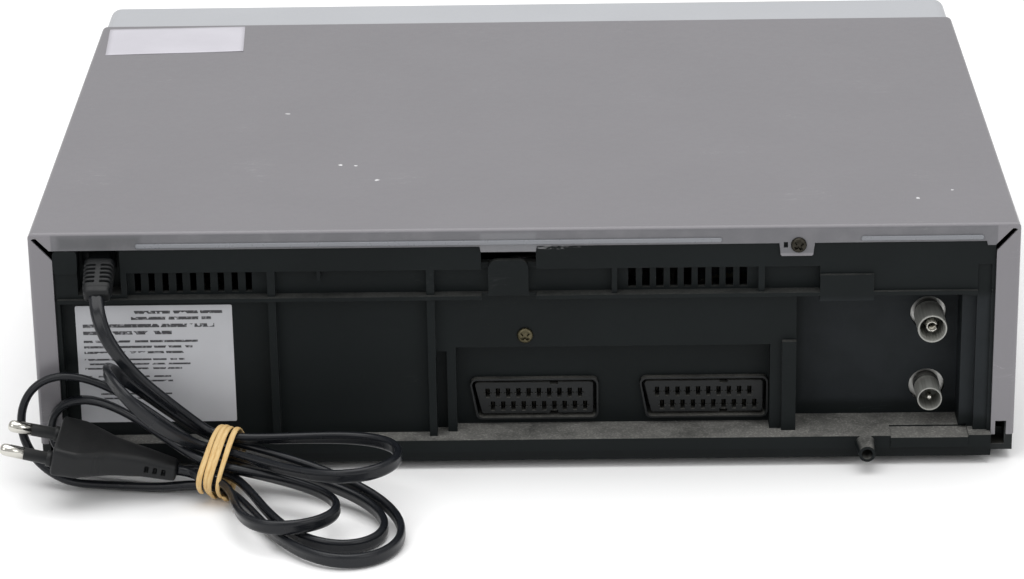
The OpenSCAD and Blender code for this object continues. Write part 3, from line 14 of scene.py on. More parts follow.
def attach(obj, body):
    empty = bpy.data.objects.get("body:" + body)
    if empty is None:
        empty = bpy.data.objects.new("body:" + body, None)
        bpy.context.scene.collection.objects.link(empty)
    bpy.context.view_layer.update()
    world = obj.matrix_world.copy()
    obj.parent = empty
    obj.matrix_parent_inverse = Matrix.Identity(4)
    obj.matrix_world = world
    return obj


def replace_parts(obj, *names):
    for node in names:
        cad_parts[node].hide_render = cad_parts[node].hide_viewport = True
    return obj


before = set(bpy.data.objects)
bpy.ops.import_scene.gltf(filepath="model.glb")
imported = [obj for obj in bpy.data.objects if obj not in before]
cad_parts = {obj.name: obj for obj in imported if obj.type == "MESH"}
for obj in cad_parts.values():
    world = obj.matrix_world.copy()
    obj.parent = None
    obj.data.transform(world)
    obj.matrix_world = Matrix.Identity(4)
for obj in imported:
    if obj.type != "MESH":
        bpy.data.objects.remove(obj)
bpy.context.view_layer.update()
LOG = logging.getLogger("recorder")
MM = 0.001
REAR_Y = 0.129
CASING_TOP = 0.094
BOARD_TOP = 0.0096
# Directions across and up of a flat thing that faces the rear or the front
TO_REAR = ((-1, 0, 0), (0, 0, 1))
TO_FRONT = ((1, 0, 0), (0, 0, 1))
Array = np.ndarray
Colour = tuple[float, float, float]
Row = Sequence[float]
Rows = tuple[Row, ...]
Obj = bpy.types.Object
Material = bpy.types.Material
Materials = dict[str, Material]
NodeTree = bpy.types.NodeTree
Socket = bpy.types.NodeSocket


# Small numpy and mesh helpers


def unit(v: Array) -> Array:
    """Unit vectors along the last axis of v."""
    return v / np.linalg.norm(v, axis=-1, keepdims=True)


def powered(v: Array, power: float | Array) -> Array:
    """A power of the size of v, with the sign of v."""
    return np.sign(v) * np.abs(v) ** power


def circle(steps: int) -> Array:
    """Even angles round one turn."""
    return np.linspace(0, 2 * math.pi, steps, endpoint=False)


def humps(x: Array, places: Row, half: float, power: int = 4) -> Array:
    """Column of the sum of exp(-((x - place) / half)^power) over the places."""
    return sum(np.exp(-(((x - place) / half) ** power)) for place in places)[:, None]


def rounding(ends: Array, radius: float) -> Array:
    """Column of how far a round edge stands in at each distance from its end."""
    drop = radius - np.sqrt(np.maximum(radius**2 - (radius - ends) ** 2, 0))
    return np.where(ends < radius, drop, 0)[:, None]


def travelled(points: Array) -> Array:
    """Distance along a polyline at each of its points."""
    return np.concatenate([[0], np.cumsum(np.linalg.norm(np.diff(points, axis=0), axis=1))])


def millimetres(points: Sequence[Row]) -> Array:
    """Points given in millimetres behind the cover, as metres in the frame."""
    return np.array(points, float) * MM + np.array([0, REAR_Y, 0])


def srgb(red: float, green: float, blue: float) -> Colour:
    """A colour of 0 to 255 values as the linear colour that shaders read."""
    c = np.array([red, green, blue]) / 255
    low, high = c / 12.92, ((c + 0.055) / 1.055) ** 2.4
    return tuple(np.where(c <= 0.04045, low, high).tolist())


def linked(name: str, data: bpy.types.ID) -> Obj:
    """A new object of some data, linked to the scene."""
    obj = bpy.data.objects.new(name, data)
    bpy.context.scene.collection.objects.link(obj)
    return obj


def new_object(name: str, points: Array, faces: Array | list, smooth: bool = True) -> Obj:
    """Makes a mesh object at the origin, its place in its mesh.

    Args:
        name: name of the object.
        points: any array whose last axis holds x, y and z in metres.
        faces: corner indices of each face.
        smooth: whether the faces are shaded smooth.

    Returns:
        The linked object.
    """
    mesh = bpy.data.meshes.new(name)
    mesh.from_pydata(points.reshape(-1, 3).tolist(), [], [list(map(int, f)) for f in faces])
    mesh.polygons.foreach_set("use_smooth", [smooth] * len(mesh.polygons))
    mesh.update()
    return linked(name, mesh)


def grid_quads(rows: int, cols: int, closed: bool) -> Array:
    """Quads of a grid of points; closed joins the last column to the first."""
    i = np.arange(rows - 1)[:, None]
    j = np.arange(cols if closed else cols - 1)[None, :]
    k = (j + 1) % cols
    return np.stack([i * cols + j, i * cols + k, (i + 1) * cols + k, (i + 1) * cols + j], -1).reshape(-1, 4)


def skin_faces(rows: int, cols: int, start: int = 0) -> list[list[int]]:
    """Faces of a closed skin over rings: its quads, then one face over each end."""
    ends = [list(range(cols))[::-1], list(range((rows - 1) * cols, rows * cols))]
    return [[start + i for i in face] for face in grid_quads(rows, cols, True).tolist() + ends]


def ring_grid(name: str, rings: Array, smooth: bool = True) -> Obj:
    """A closed skin over rings of points, with a UV map of angle and distance.

    U is the share of the way round and V the metres along.

    Args:
        name: name of the object.
        rings: array of shape (stations, points a ring, 3), anticlockwise along the way.
        smooth: whether the faces are shaded smooth.

    Returns:
        The object.
    """
    n, m = rings.shape[:2]
    obj = new_object(name, rings, skin_faces(n, m), smooth)
    along = travelled(rings.mean(1))
    i, j = np.divmod(np.arange((n - 1) * m), m)
    u = np.stack([j, j + 1, j + 1, j], -1) / m
    v = np.stack([along[i], along[i], along[i + 1], along[i + 1]], -1)
    uv = np.zeros((len(obj.data.loops), 2))
    uv[: 4 * len(i)] = np.stack([u, v], -1).reshape(-1, 2)
    obj.data.uv_layers.new(name="round").data.foreach_set("uv", uv.ravel())
    return obj


def joined(name: str, parts: Sequence[Array], smooth: bool = True) -> Obj:
    """One object of several closed skins over rings."""
    faces, start = [], 0
    for rings in parts:
        n, m = rings.shape[:2]
        faces += skin_faces(n, m, start)
        start += n * m
    return new_object(name, np.concatenate([rings.reshape(-1, 3) for rings in parts]), faces, smooth)


def swept(path: Array, wide: Array, section: Array) -> Array:
    """Rings of a section carried along a path.

    A ring is path + s0 times the wide direction, made square to the path,
    + s1 times the direction square to both.

    Args:
        path: (n, 3) centres.
        wide: (n, 3) directions of the section's first axis.
        section: (m, 2) or (n, m, 2) outline.

    Returns:
        (n, m, 3) rings.
    """
    t = unit(np.gradient(path, axis=0))
    u = unit(wide - t * (wide * t).sum(1, keepdims=True))
    s = np.broadcast_to(section, (len(path), *section.shape[-2:]))
    return path[:, None] + s[..., :1] * u[:, None] + s[..., 1:] * np.cross(t, u)[:, None]


def turned(origin: Row, axis: Row, profile: Sequence[Row], steps: int = 48) -> Array:
    """Rings of a profile of (distance along, radius) pairs turned about an axis, in metres."""
    axis = unit(np.array(axis, float))
    side = unit(np.cross(axis, [0.3, 0.2, 1]))
    a = circle(steps)[:, None]
    spoke = np.cos(a) * side + np.sin(a) * np.cross(axis, side)
    p = np.array(profile, float)
    return np.array(origin) + p[:, 0, None, None] * axis + p[:, 1, None, None] * spoke


def evenly(points: Array, step: float, rounds: int) -> Array:
    """A polyline resampled at an even step, then softened by rounds of a 1-2-1 average."""
    gaps = np.linalg.norm(np.diff(points, axis=0), axis=1)
    points = points[np.concatenate([[True], gaps > 1e-7])]
    s = travelled(points)
    at = np.linspace(0, s[-1], max(2, round(s[-1] / step) + 1))
    out = np.stack([np.interp(at, s, column) for column in points.T], -1)
    for _ in range(rounds):
        out[1:-1] = (out[:-2] + 2 * out[1:-1] + out[2:]) / 4
    return out


def hermite(points: Array, n: int) -> Array:
    """A cubic through the points, whose slope at a point is half the step between its neighbours."""
    slope = np.empty_like(points)
    slope[1:-1] = (points[2:] - points[:-2]) / 2
    slope[0], slope[-1] = (points[1] - points[0]) / 2, (points[-1] - points[-2]) / 2
    f = (np.arange(n) / n)[None, :, None]
    a, b, ta, tb = points[:-1, None], points[1:, None], slope[:-1, None], slope[1:, None]
    line = (2 * f**3 - 3 * f**2 + 1) * a + (f**3 - 2 * f**2 + f) * ta
    line = line + (3 * f**2 - 2 * f**3) * b + (f**3 - f**2) * tb
    return np.concatenate([line.reshape(-1, points.shape[1]), points[-1:]])


def rounded_box(w: float, h: float, r: float) -> Array:
    """Outline of a rectangle with round corners, anticlockwise round its middle."""
    a = np.linspace(0, math.pi / 2, 7)
    return np.concatenate([np.stack([x * (w / 2 - r) + r * np.cos(a + k * math.pi / 2),
                                     y * (h / 2 - r) + r * np.sin(a + k * math.pi / 2)], -1)
                           for k, (x, y) in enumerate([(1, 1), (-1, 1), (-1, -1), (1, -1)])])


def slab(outline: Array, origin: Row, across: Row, up: Row, thick: float) -> Array:
    """Two rings: an outline on the plane of across and up, and the same thick metres towards their cross product."""
    across, up = np.array(across, float), np.array(up, float)
    base = np.array(origin) + outline[:, :1] * across + outline[:, 1:] * up
    return np.stack([base, base + thick * np.cross(across, up)])


def screw_head(centre: Row, axis: Row, radius: float, height: float, turn: float) -> Array:
    """Rings of a domed head with a cross recess, in metres from sizes in mm.

    A ring at angle f has radius R cos f and height H sin^0.7 f. The recess takes 0.62 H off where
    the point lies in either arm of a cross, 0.34 R wide and 1.24 R long, with sloping walls.
    """
    axis = unit(np.array(axis, float))
    side = unit(np.cross(axis, [0.0, 0.0, 1.0]))
    f, a = np.linspace(0, 1.555, 44)[:, None], circle(96)[None]
    u, v = radius * np.cos(f) * np.cos(a), radius * np.cos(f) * np.sin(a)
    c, s = math.cos(turn), math.sin(turn)
    p, q = np.abs(c * u + s * v), np.abs(c * v - s * u)

    def arm(along: Array, aside: Array) -> Array:
        """One inside an arm of the cross, falling to nothing over 0.16 mm."""
        inside = [np.clip((half * radius - w) / 0.16 + 0.5, 0, 1) for w, half in ((aside, 0.17), (along, 0.62))]
        return inside[0] * inside[1]
    z = height * np.sin(f) ** 0.7 * np.ones_like(u) - 0.62 * height * np.maximum(arm(q, p), arm(p, q))
    local = u[..., None] * side + v[..., None] * np.cross(axis, side) + z[..., None] * axis
    dome = np.array(centre) + MM * local
    return np.concatenate([dome[:1] - 0.4 * MM * axis, dome])


def dressed(obj: Obj, body: str, slot: str, *materials: Material) -> Obj:
    """Gives a new piece its materials and the body that it rides on."""
    for m in materials:
        obj.data.materials.append(m)
    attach(obj, body)
    LOG.info("%s rides on %s", obj.name, body)
    return obj


def paint(material: Material, *nodes: str) -> None:
    """Assigns a material to every slot of CAD nodes."""
    for node in nodes:
        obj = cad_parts[node]
        if not obj.material_slots:
            obj.data.materials.append(material)
        for s in obj.material_slots:
            s.material = material
        LOG.info("%s is finished in %s", node, material.name)


# Shader groups


class Tree:
    """Adds nodes to a node tree and links their sockets."""

    def __init__(self, tree: NodeTree) -> None:
        """Starts on an empty tree."""
        self.tree = tree
        tree.nodes.clear()

    def add(self, kind: str, inputs: dict | None = None, **settings: object) -> bpy.types.Node:
        """Adds a node.

        Args:
            kind: short name of the node type, after ShaderNode.
            inputs: socket name or number to a value, or to the socket that feeds it.
            **settings: properties of the node.

        Returns:
            The node.
        """
        node = self.tree.nodes.new(kind if kind.startswith("Node") else "ShaderNode" + kind)
        for key, value in settings.items():
            setattr(node, key, value)
        for key, value in (inputs or {}).items():
            if isinstance(value, Socket):
                self.tree.links.new(value, node.inputs[key])
            else:
                node.inputs[key].default_value = value
        return node

    def math(self, operation: str, *values: object, clamp: bool = False) -> Socket:
        """Output of a Math node on up to three values or sockets."""
        return self.add("Math", dict(enumerate(values)), operation=operation, use_clamp=clamp).outputs[0]

    def masks(self, mask: object, *others: object) -> Socket:
        """Product of masks, held between 0 and 1."""
        for other in others:
            mask = self.math("MULTIPLY", mask, other, clamp=True)
        return mask

    def span(self, value: object, low: float, high: float, to_low: float = 0.0, to_high: float = 1.0) -> Socket:
        """A value mapped smoothly from one range to another, and held at its ends."""
        return self.add("MapRange", {0: value, 1: low, 2: high, 3: to_low, 4: to_high},
                        interpolation_type="SMOOTHSTEP").outputs[0]

    def blend(self, share: object, a: object, b: object) -> Socket:
        """Colour a mixed with colour b by a share."""
        a, b = ((*c, 1) if isinstance(c, tuple) else c for c in (a, b))
        return self.add("Mix", {0: share, 6: a, 7: b}, data_type="RGBA").outputs[2]

    def noise(self, vector: Socket, scale: object, detail: float = 3, rough: float = 0.5) -> Socket:
        """Noise value at a vector."""
        return self.add("TexNoise", {"Vector": vector, "Scale": scale, "Detail": detail, "Roughness": rough}).outputs[0]

    def stretch(self, vector: Socket, x: float, y: float, z: float) -> Socket:
        """A vector scaled along its axes."""
        return self.add("Mapping", {"Vector": vector, "Scale": (x, y, z)}).outputs[0]

    def xyz(self, vector: Socket) -> Sequence[Socket]:
        """The three parts of a vector."""
        return self.add("SeparateXYZ", {0: vector}).outputs

    def inside(self, xyz: Sequence[Socket], x: float, z: float, half_w: float, half_h: float) -> Socket:
        """Metres that a point lies inside a box in X and Z, given in mm."""
        return self.math("MINIMUM", *[
            self.math("SUBTRACT", half * MM, self.math("ABSOLUTE", self.math("SUBTRACT", part, middle * MM)))
            for part, middle, half in ((xyz[0], x, half_w), (xyz[2], z, half_h))])

    def group(self, tree: NodeTree, **inputs: object) -> Sequence[Socket]:
        """Outputs of a node group that is given its named inputs."""
        return self.add("Group", inputs, node_tree=tree).outputs

    def surface(self, inputs: dict) -> None:
        """Ends the tree with the surface shader and the material's output."""
        self.add("OutputMaterial", {"Surface": self.add("BsdfPrincipled", inputs).outputs[0]})


def new_material(name: str) -> tuple[Material, Tree, Socket]:
    """A new material, its empty tree and its object coordinates."""
    mat = bpy.data.materials.new(name)
    mat.use_nodes = True
    t = Tree(mat.node_tree)
    return mat, t, t.add("TexCoord").outputs["Object"]


class Effects:
    """The shared shader groups, each built once."""

    def __init__(self) -> None:
        """Builds every group."""
        self.grain = self._grain()
        self.cloud = self._cloud()
        self.wear = self._wear()
        self.dust = self._dust()
        self.scuffs = self._scuffs()

    @staticmethod
    def _start(name: str, inputs: dict[str, float | None], outputs: dict[str, str]) -> tuple[Tree, list, Callable]:
        """Makes a group with its sockets.

        Args:
            name: name of the group.
            inputs: input names to their values, None for a vector.
            outputs: output names to their kinds.

        Returns:
            The tree, its input sockets, and a function that feeds an output.
        """
        tree = bpy.data.node_groups.new(name, "ShaderNodeTree")
        for key, value in inputs.items():
            kind = "NodeSocketVector" if value is None else "NodeSocketFloat"
            socket = tree.interface.new_socket(key, in_out="INPUT", socket_type=kind)
            if value is not None:
                socket.default_value = value
        for key, kind in outputs.items():
            tree.interface.new_socket(key, in_out="OUTPUT", socket_type="NodeSocket" + kind)
        t = Tree(tree)
        source, sink = t.add("NodeGroupInput"), t.add("NodeGroupOutput")
        return t, [source.outputs[key] for key in inputs], lambda key, out: tree.links.new(out, sink.inputs[key])

    def _grain(self) -> NodeTree:
        """Fine moulded or rolled grain: two sizes of noise added, around one half."""
        t, (vector, scale), put = self._start("fine_grain", {"Vector": None, "Scale": 2500.0}, {"Height": "Float"})
        fine, broad = t.noise(vector, scale, 2), t.noise(vector, t.math("MULTIPLY", scale, 0.23), 2)
        put("Height", t.math("MULTIPLY_ADD", fine, 0.6, t.math("MULTIPLY", broad, 0.4)))
        return t.tree

    def _cloud(self) -> NodeTree:
        """Slow change of tone over a surface: broad noise, spread to the full range."""
        t, (vector, scale), put = self._start("slow_cloud", {"Vector": None, "Scale": 20.0}, {"Mask": "Float"})
        put("Mask", t.span(t.noise(vector, scale, 4), 0.32, 0.68))
        return t.tree

    def _wear(self) -> NodeTree:
        """Edge wear: where a rounded normal departs from the true one, broken up by noise."""
        t, (vector, radius, amount), put = self._start(
            "edge_wear", {"Vector": None, "Radius": 0.0005, "Amount": 1.0}, {"Mask": "Float", "Normal": "Vector"})
        round_normal = t.add("Bevel", {"Radius": radius}, samples=4).outputs[0]
        true_normal = t.add("NewGeometry").outputs["Normal"]
        dot = t.add("VectorMath", {0: round_normal, 1: true_normal}, operation="DOT_PRODUCT").outputs["Value"]
        away = t.math("MULTIPLY", t.math("SUBTRACT", 1.0, dot), 6.0, clamp=True)
        put("Mask", t.masks(away, t.span(t.noise(vector, 260.0, 4), 0.42, 0.62), amount))
        put("Normal", round_normal)
        return t.tree

    def _dust(self) -> NodeTree:
        """Dust on faces that look up, thicker low down: their upward share times two sizes of noise."""
        t, (vector, scale, amount), put = self._start(
            "settled_dust", {"Vector": None, "Scale": 60.0, "Amount": 0.5}, {"Mask": "Float"})
        up = t.span(t.xyz(t.add("NewGeometry").outputs["Normal"])[2], 0.35, 0.95)
        patchy = t.span(t.noise(vector, scale, 6, 0.7), 0.2, 0.62, 0.25, 1.0)
        specks = t.span(t.noise(vector, 1400.0, 2), 0.45, 0.75, 0.55, 1.0)
        low = t.span(t.xyz(vector)[2], 0.02, 0.06, 1.0, 0.22)
        put("Mask", t.masks(up, low, patchy, specks, amount))
        return t.tree

    def _scuffs(self) -> NodeTree:
        """Short scratches: thin bands of stretched noise kept where a broad noise is high."""
        t, (vector, amount), put = self._start("short_scuffs", {"Vector": None, "Amount": 0.5}, {"Mask": "Float"})
        warp = t.add("TexNoise", {"Vector": vector, "Scale": 9.0, "Detail": 1.0}).outputs[1]
        shift = t.add("VectorMath", {0: warp, "Scale": 0.03}, operation="SCALE").outputs[0]
        bent = t.add("VectorMath", {0: vector, 1: shift}, operation="ADD").outputs[0]
        line = t.math("ABSOLUTE", t.math("SUBTRACT", t.noise(t.stretch(bent, 8, 70, 70), 6.0, 2), 0.5))
        put("Mask", t.masks(t.span(line, 0.0, 0.012, 1.0, 0.0), t.span(t.noise(vector, 34.0, 3), 0.6, 0.72), amount))
        return t.tree


class Pattern(Enum):
    """What a finish shows besides its grain."""

    PLAIN = "plain"
    TURNED = "turned"
    BRUSHED = "brushed"
    CHIPPED = "chipped"
    LAYERED = "layered"
    TRACKS = "tracks"
    CORD = "cord"
    BAND = "band"


@dataclass(frozen=True)
class Finish:
    """One surface finish, from which its material is built."""

    name: str
    colour: Colour
    roughness: float
    metallic: float = 0.0
    specular: float = 0.5
    coat: float = 0.0
    grain_scale: float = 2500.0
    grain_depth: float = 0.02
    tone: float = 0.15
    wear: float = 0.0
    wear_colour: Colour = (0.4, 0.4, 0.4)
    dust: float = 0.0
    dust_colour: Colour = (0.22, 0.20, 0.17)
    scuffs: float = 0.0
    edge: float = 0.0003
    pattern: Pattern = Pattern.PLAIN
    second: Colour = (0.5, 0.5, 0.5)
    # In mm: X, Y and radius of chips; X, Z, half width and half height of rubbed patches
    chips: Rows = ()
    rubbed: Rows = ()
    # Boxes of another tone, some of them painted shade and one a painted highlight: X, Z, half width, half height and
    # width of the soft edge in mm, share, colour
    areas: tuple[tuple, ...] = ()

    def _mixed(self, t: Tree, value: Socket, low: float = 0.3, high: float = 0.7) -> Socket:
        """The two colours of the finish, mixed by a value over a range."""
        return t.blend(t.span(value, low, high), self.colour, self.second)

    def _patterned(self, t: Tree, vector: Socket) -> tuple[object, object, object]:
        """Base colour, extra height and roughness shift of the pattern."""
        if self.pattern in (Pattern.TURNED, Pattern.BRUSHED):
            scale, detail = ((30, 30, 6000), 2) if self.pattern is Pattern.TURNED else ((40, 40, 3500), 3)
            lines = t.noise(t.stretch(vector, *scale), 1.0, detail)
            return self._mixed(t, lines), lines, lines
        if self.pattern is Pattern.CHIPPED:
            return self._chipped(t, vector)
        if self.pattern is Pattern.LAYERED:
            rows = t.math("PINGPONG", t.math("MULTIPLY", t.xyz(vector)[0], 900.0), 1.0)
            return self._mixed(t, rows), rows, None
        if self.pattern is Pattern.TRACKS:
            return self._tracks(t, vector)
        if self.pattern is Pattern.CORD:
            return self._cord(t)
        if self.pattern is Pattern.BAND:
            uv = t.add("UVMap", uv_map="round").outputs[0]
            fibres = t.noise(t.stretch(uv, 7, 260, 1), 1.0, 4, 0.7)
            return self._mixed(t, fibres, 0.35, 0.68), fibres, fibres
        return self.colour, None, None

    def _chipped(self, t: Tree, vector: Socket) -> tuple[object, object, object]:
        """Chips through the paint, and rubbed patches on the rear flange.

        A chip is one where the distance to its place, made ragged by noise, is under its
        radius. A rubbed patch is a box in X and Z times short streaks of stretched noise.
        """
        ragged = t.math("MULTIPLY", t.math("SUBTRACT", t.noise(vector, 700.0, 3), 0.5), 2.4 * MM)
        mask = 0.0
        for x, y, radius in self.chips:
            place = (x * MM, y * MM, CASING_TOP)
            gap = t.add("VectorMath", {0: vector, 1: place}, operation="DISTANCE").outputs["Value"]
            chip = t.span(t.math("ADD", gap, ragged), 0.7 * radius * MM, radius * MM, 1.0, 0.0)
            mask = t.math("MAXIMUM", mask, chip)
        xyz = t.xyz(vector)
        streaks = t.span(t.noise(t.stretch(vector, 260, 1, 1500), 1.0, 3, 0.7), 0.44, 0.6)
        for place in self.rubbed:
            patch = t.span(t.inside(xyz, *place), -0.4 * MM, 0.6 * MM)
            mask = t.math("MAXIMUM", mask, t.masks(patch, streaks))
        return t.blend(mask, self.colour, self.second), t.math("SUBTRACT", 0.5, mask), None

    def _toned_and_shaded(self, t: Tree, vector: Socket, base: Socket) -> Socket:
        """The base colour with its patches of another tone, painted shade and painted highlight among them: boxes in X
        and Z with soft edges, broken up by broad noise.
        """
        xyz = t.xyz(vector)
        broken = t.span(t.noise(vector, 90.0, 4, 0.6), 0.3, 0.6, 0.7, 1.0)
        for *place, soft, share, colour in self.areas:
            mask = t.span(t.inside(xyz, *place), -soft / 2 * MM, soft / 2 * MM, 0.0, share)
            base = t.blend(t.masks(mask, broken), base, colour)
        return base

    def _tracks(self, t: Tree, vector: Socket) -> tuple[object, object, object]:
        """Board lacquer over copper: bands of stretched noise, with solder dots; parts above it are dark."""
        cells = t.add("TexVoronoi", {"Vector": vector, "Scale": 190.0, "Randomness": 0.55}, distance="MANHATTAN")
        copper = t.span(t.noise(t.stretch(vector, 60, 360, 1), 1.0, 1), 0.5, 0.53)
        dots = t.span(cells.outputs["Distance"], 0.1, 0.16, 1.0, 0.0)
        board = t.blend(dots, t.blend(copper, self.colour, self.second), (0.55, 0.53, 0.48))
        above = t.span(t.xyz(vector)[2], BOARD_TOP, BOARD_TOP + 0.2 * MM)
        return t.blend(above, board, (0.03, 0.03, 0.032)), copper, None

    def _cord(self, t: Tree) -> tuple[object, object, object]:
        """Drawn cord sheath: faint lengthwise lines and a slow change of gloss along it."""
        uv = t.add("UVMap", uv_map="round").outputs[0]
        lines = t.noise(t.stretch(uv, 26, 12, 1), 1.0, 3)
        slow = t.noise(t.stretch(uv, 1, 45, 1), 1.0, 3)
        return self._mixed(t, slow), lines, slow

    def material(self, fx: Effects) -> Material:
        """Builds the node material of the finish from the shared groups."""
        mat, t, vector = new_material(self.name)
        base, height, shift = self._patterned(t, vector)
        cloud = t.group(fx.cloud, Vector=vector, Scale=24.0)["Mask"]
        base = t.blend(t.masks(cloud, 0.6), base, tuple(c * (1 - self.tone) for c in self.colour))
        base = self._toned_and_shaded(t, vector, base) if self.areas else base
        edge = t.group(fx.wear, Vector=vector, Radius=self.edge, Amount=self.wear)
        if self.wear:
            base = t.blend(edge["Mask"], base, self.wear_colour)
        grain = t.group(fx.grain, Vector=vector, Scale=self.grain_scale)["Height"]
        rough = t.math("SUBTRACT", grain if shift is None else shift, 0.5)
        rough = t.math("MULTIPLY_ADD", rough, 0.25, self.roughness)
        if self.scuffs:
            marks = t.group(fx.scuffs, Vector=vector, Amount=self.scuffs)["Mask"]
            base = t.blend(marks, base, self.wear_colour)
            rough = t.math("MULTIPLY_ADD", marks, 0.2, rough)
        if self.dust:
            settled = t.group(fx.dust, Vector=vector, Amount=self.dust)["Mask"]
            base = t.blend(settled, base, self.dust_colour)
            rough = t.math("MULTIPLY_ADD", settled, 0.4, rough)
        if height is not None:
            grain = t.math("MULTIPLY_ADD", height, 1.5, grain)
        bump = t.add("Bump", {"Height": grain, "Strength": 0.6, "Distance": self.grain_depth * MM,
                              "Normal": edge["Normal"]}).outputs[0]
        t.surface({"Roughness": t.math("MAXIMUM", rough, 0.04), "Metallic": self.metallic, "Coat Weight": self.coat,
                   "Specular IOR Level": self.specular, "Coat Roughness": 0.15, "Normal": bump, "Base Color": base})
        return mat


@dataclass(frozen=True)
class SmokedGlass:
    """Tinted clear plastic of the display window."""

    name: str = "smoked_window"
    tint: Colour = (0.10, 0.07, 0.08)

    def material(self, fx: Effects) -> Material:
        """Clear shader with a faint swirl of wiped dust in its roughness."""
        mat, t, vector = new_material(self.name)
        cloud = t.group(fx.cloud, Vector=vector, Scale=60.0)["Mask"]
        tone = t.blend(cloud, self.tint, tuple(0.85 * c for c in self.tint))
        t.surface({"Base Color": tone, "Roughness": t.math("MULTIPLY_ADD", cloud, 0.06, 0.05),
                   "Transmission Weight": 0.85, "IOR": 1.49, "Metallic": 0.0})
        return mat


@dataclass(frozen=True)
class PaperLabel:
    """Printed label stock: pale film with rows of plain bars instead of words."""

    name: str
    colour: Colour
    ink: Colour = (0.05, 0.05, 0.055)
    # Middle X, middle Z, half width and half height of each bar in mm
    rows: Rows = ()

    def material(self, fx: Effects) -> Material:
        """Film with grime, and the bars as boxes in X and Z of the object, worn by noise."""
        mat, t, vector = new_material(self.name)
        cloud = t.group(fx.cloud, Vector=vector, Scale=40.0)["Mask"]
        base = t.blend(cloud, self.colour, tuple(0.93 * c for c in self.colour))
        grime = t.span(t.noise(vector, 700.0, 5, 0.7), 0.62, 0.75, 0.0, 0.25)
        base = t.blend(grime, base, (0.3, 0.29, 0.27))
        if self.rows:
            xyz = t.xyz(vector)
            ink = -1.0
            for row in self.rows:
                ink = t.math("MAXIMUM", ink, t.inside(xyz, *row))
            gaps = t.span(t.noise(t.stretch(vector, 330, 0, 260), 1.0, 1), 0.4, 0.42)
            worn = t.span(t.noise(vector, 900.0, 3), 0.3, 0.5, 0.55, 1.0)
            base = t.blend(t.masks(t.span(ink, -0.08 * MM, 0.08 * MM), worn, gaps), base, self.ink)
        grain = t.group(fx.grain, Vector=vector, Scale=1800.0)["Height"]
        bump = t.add("Bump", {"Height": grain, "Strength": 0.4, "Distance": 0.02 * MM}).outputs[0]
        t.surface({"Base Color": base, "Roughness": t.math("MULTIPLY_ADD", grain, 0.2, 0.42), "Normal": bump,
                   "Specular IOR Level": 0.4})
        return mat


BLACK = srgb(16, 21, 22)
COVER = srgb(121, 119, 123)
STEEL = (0.52, 0.53, 0.54)


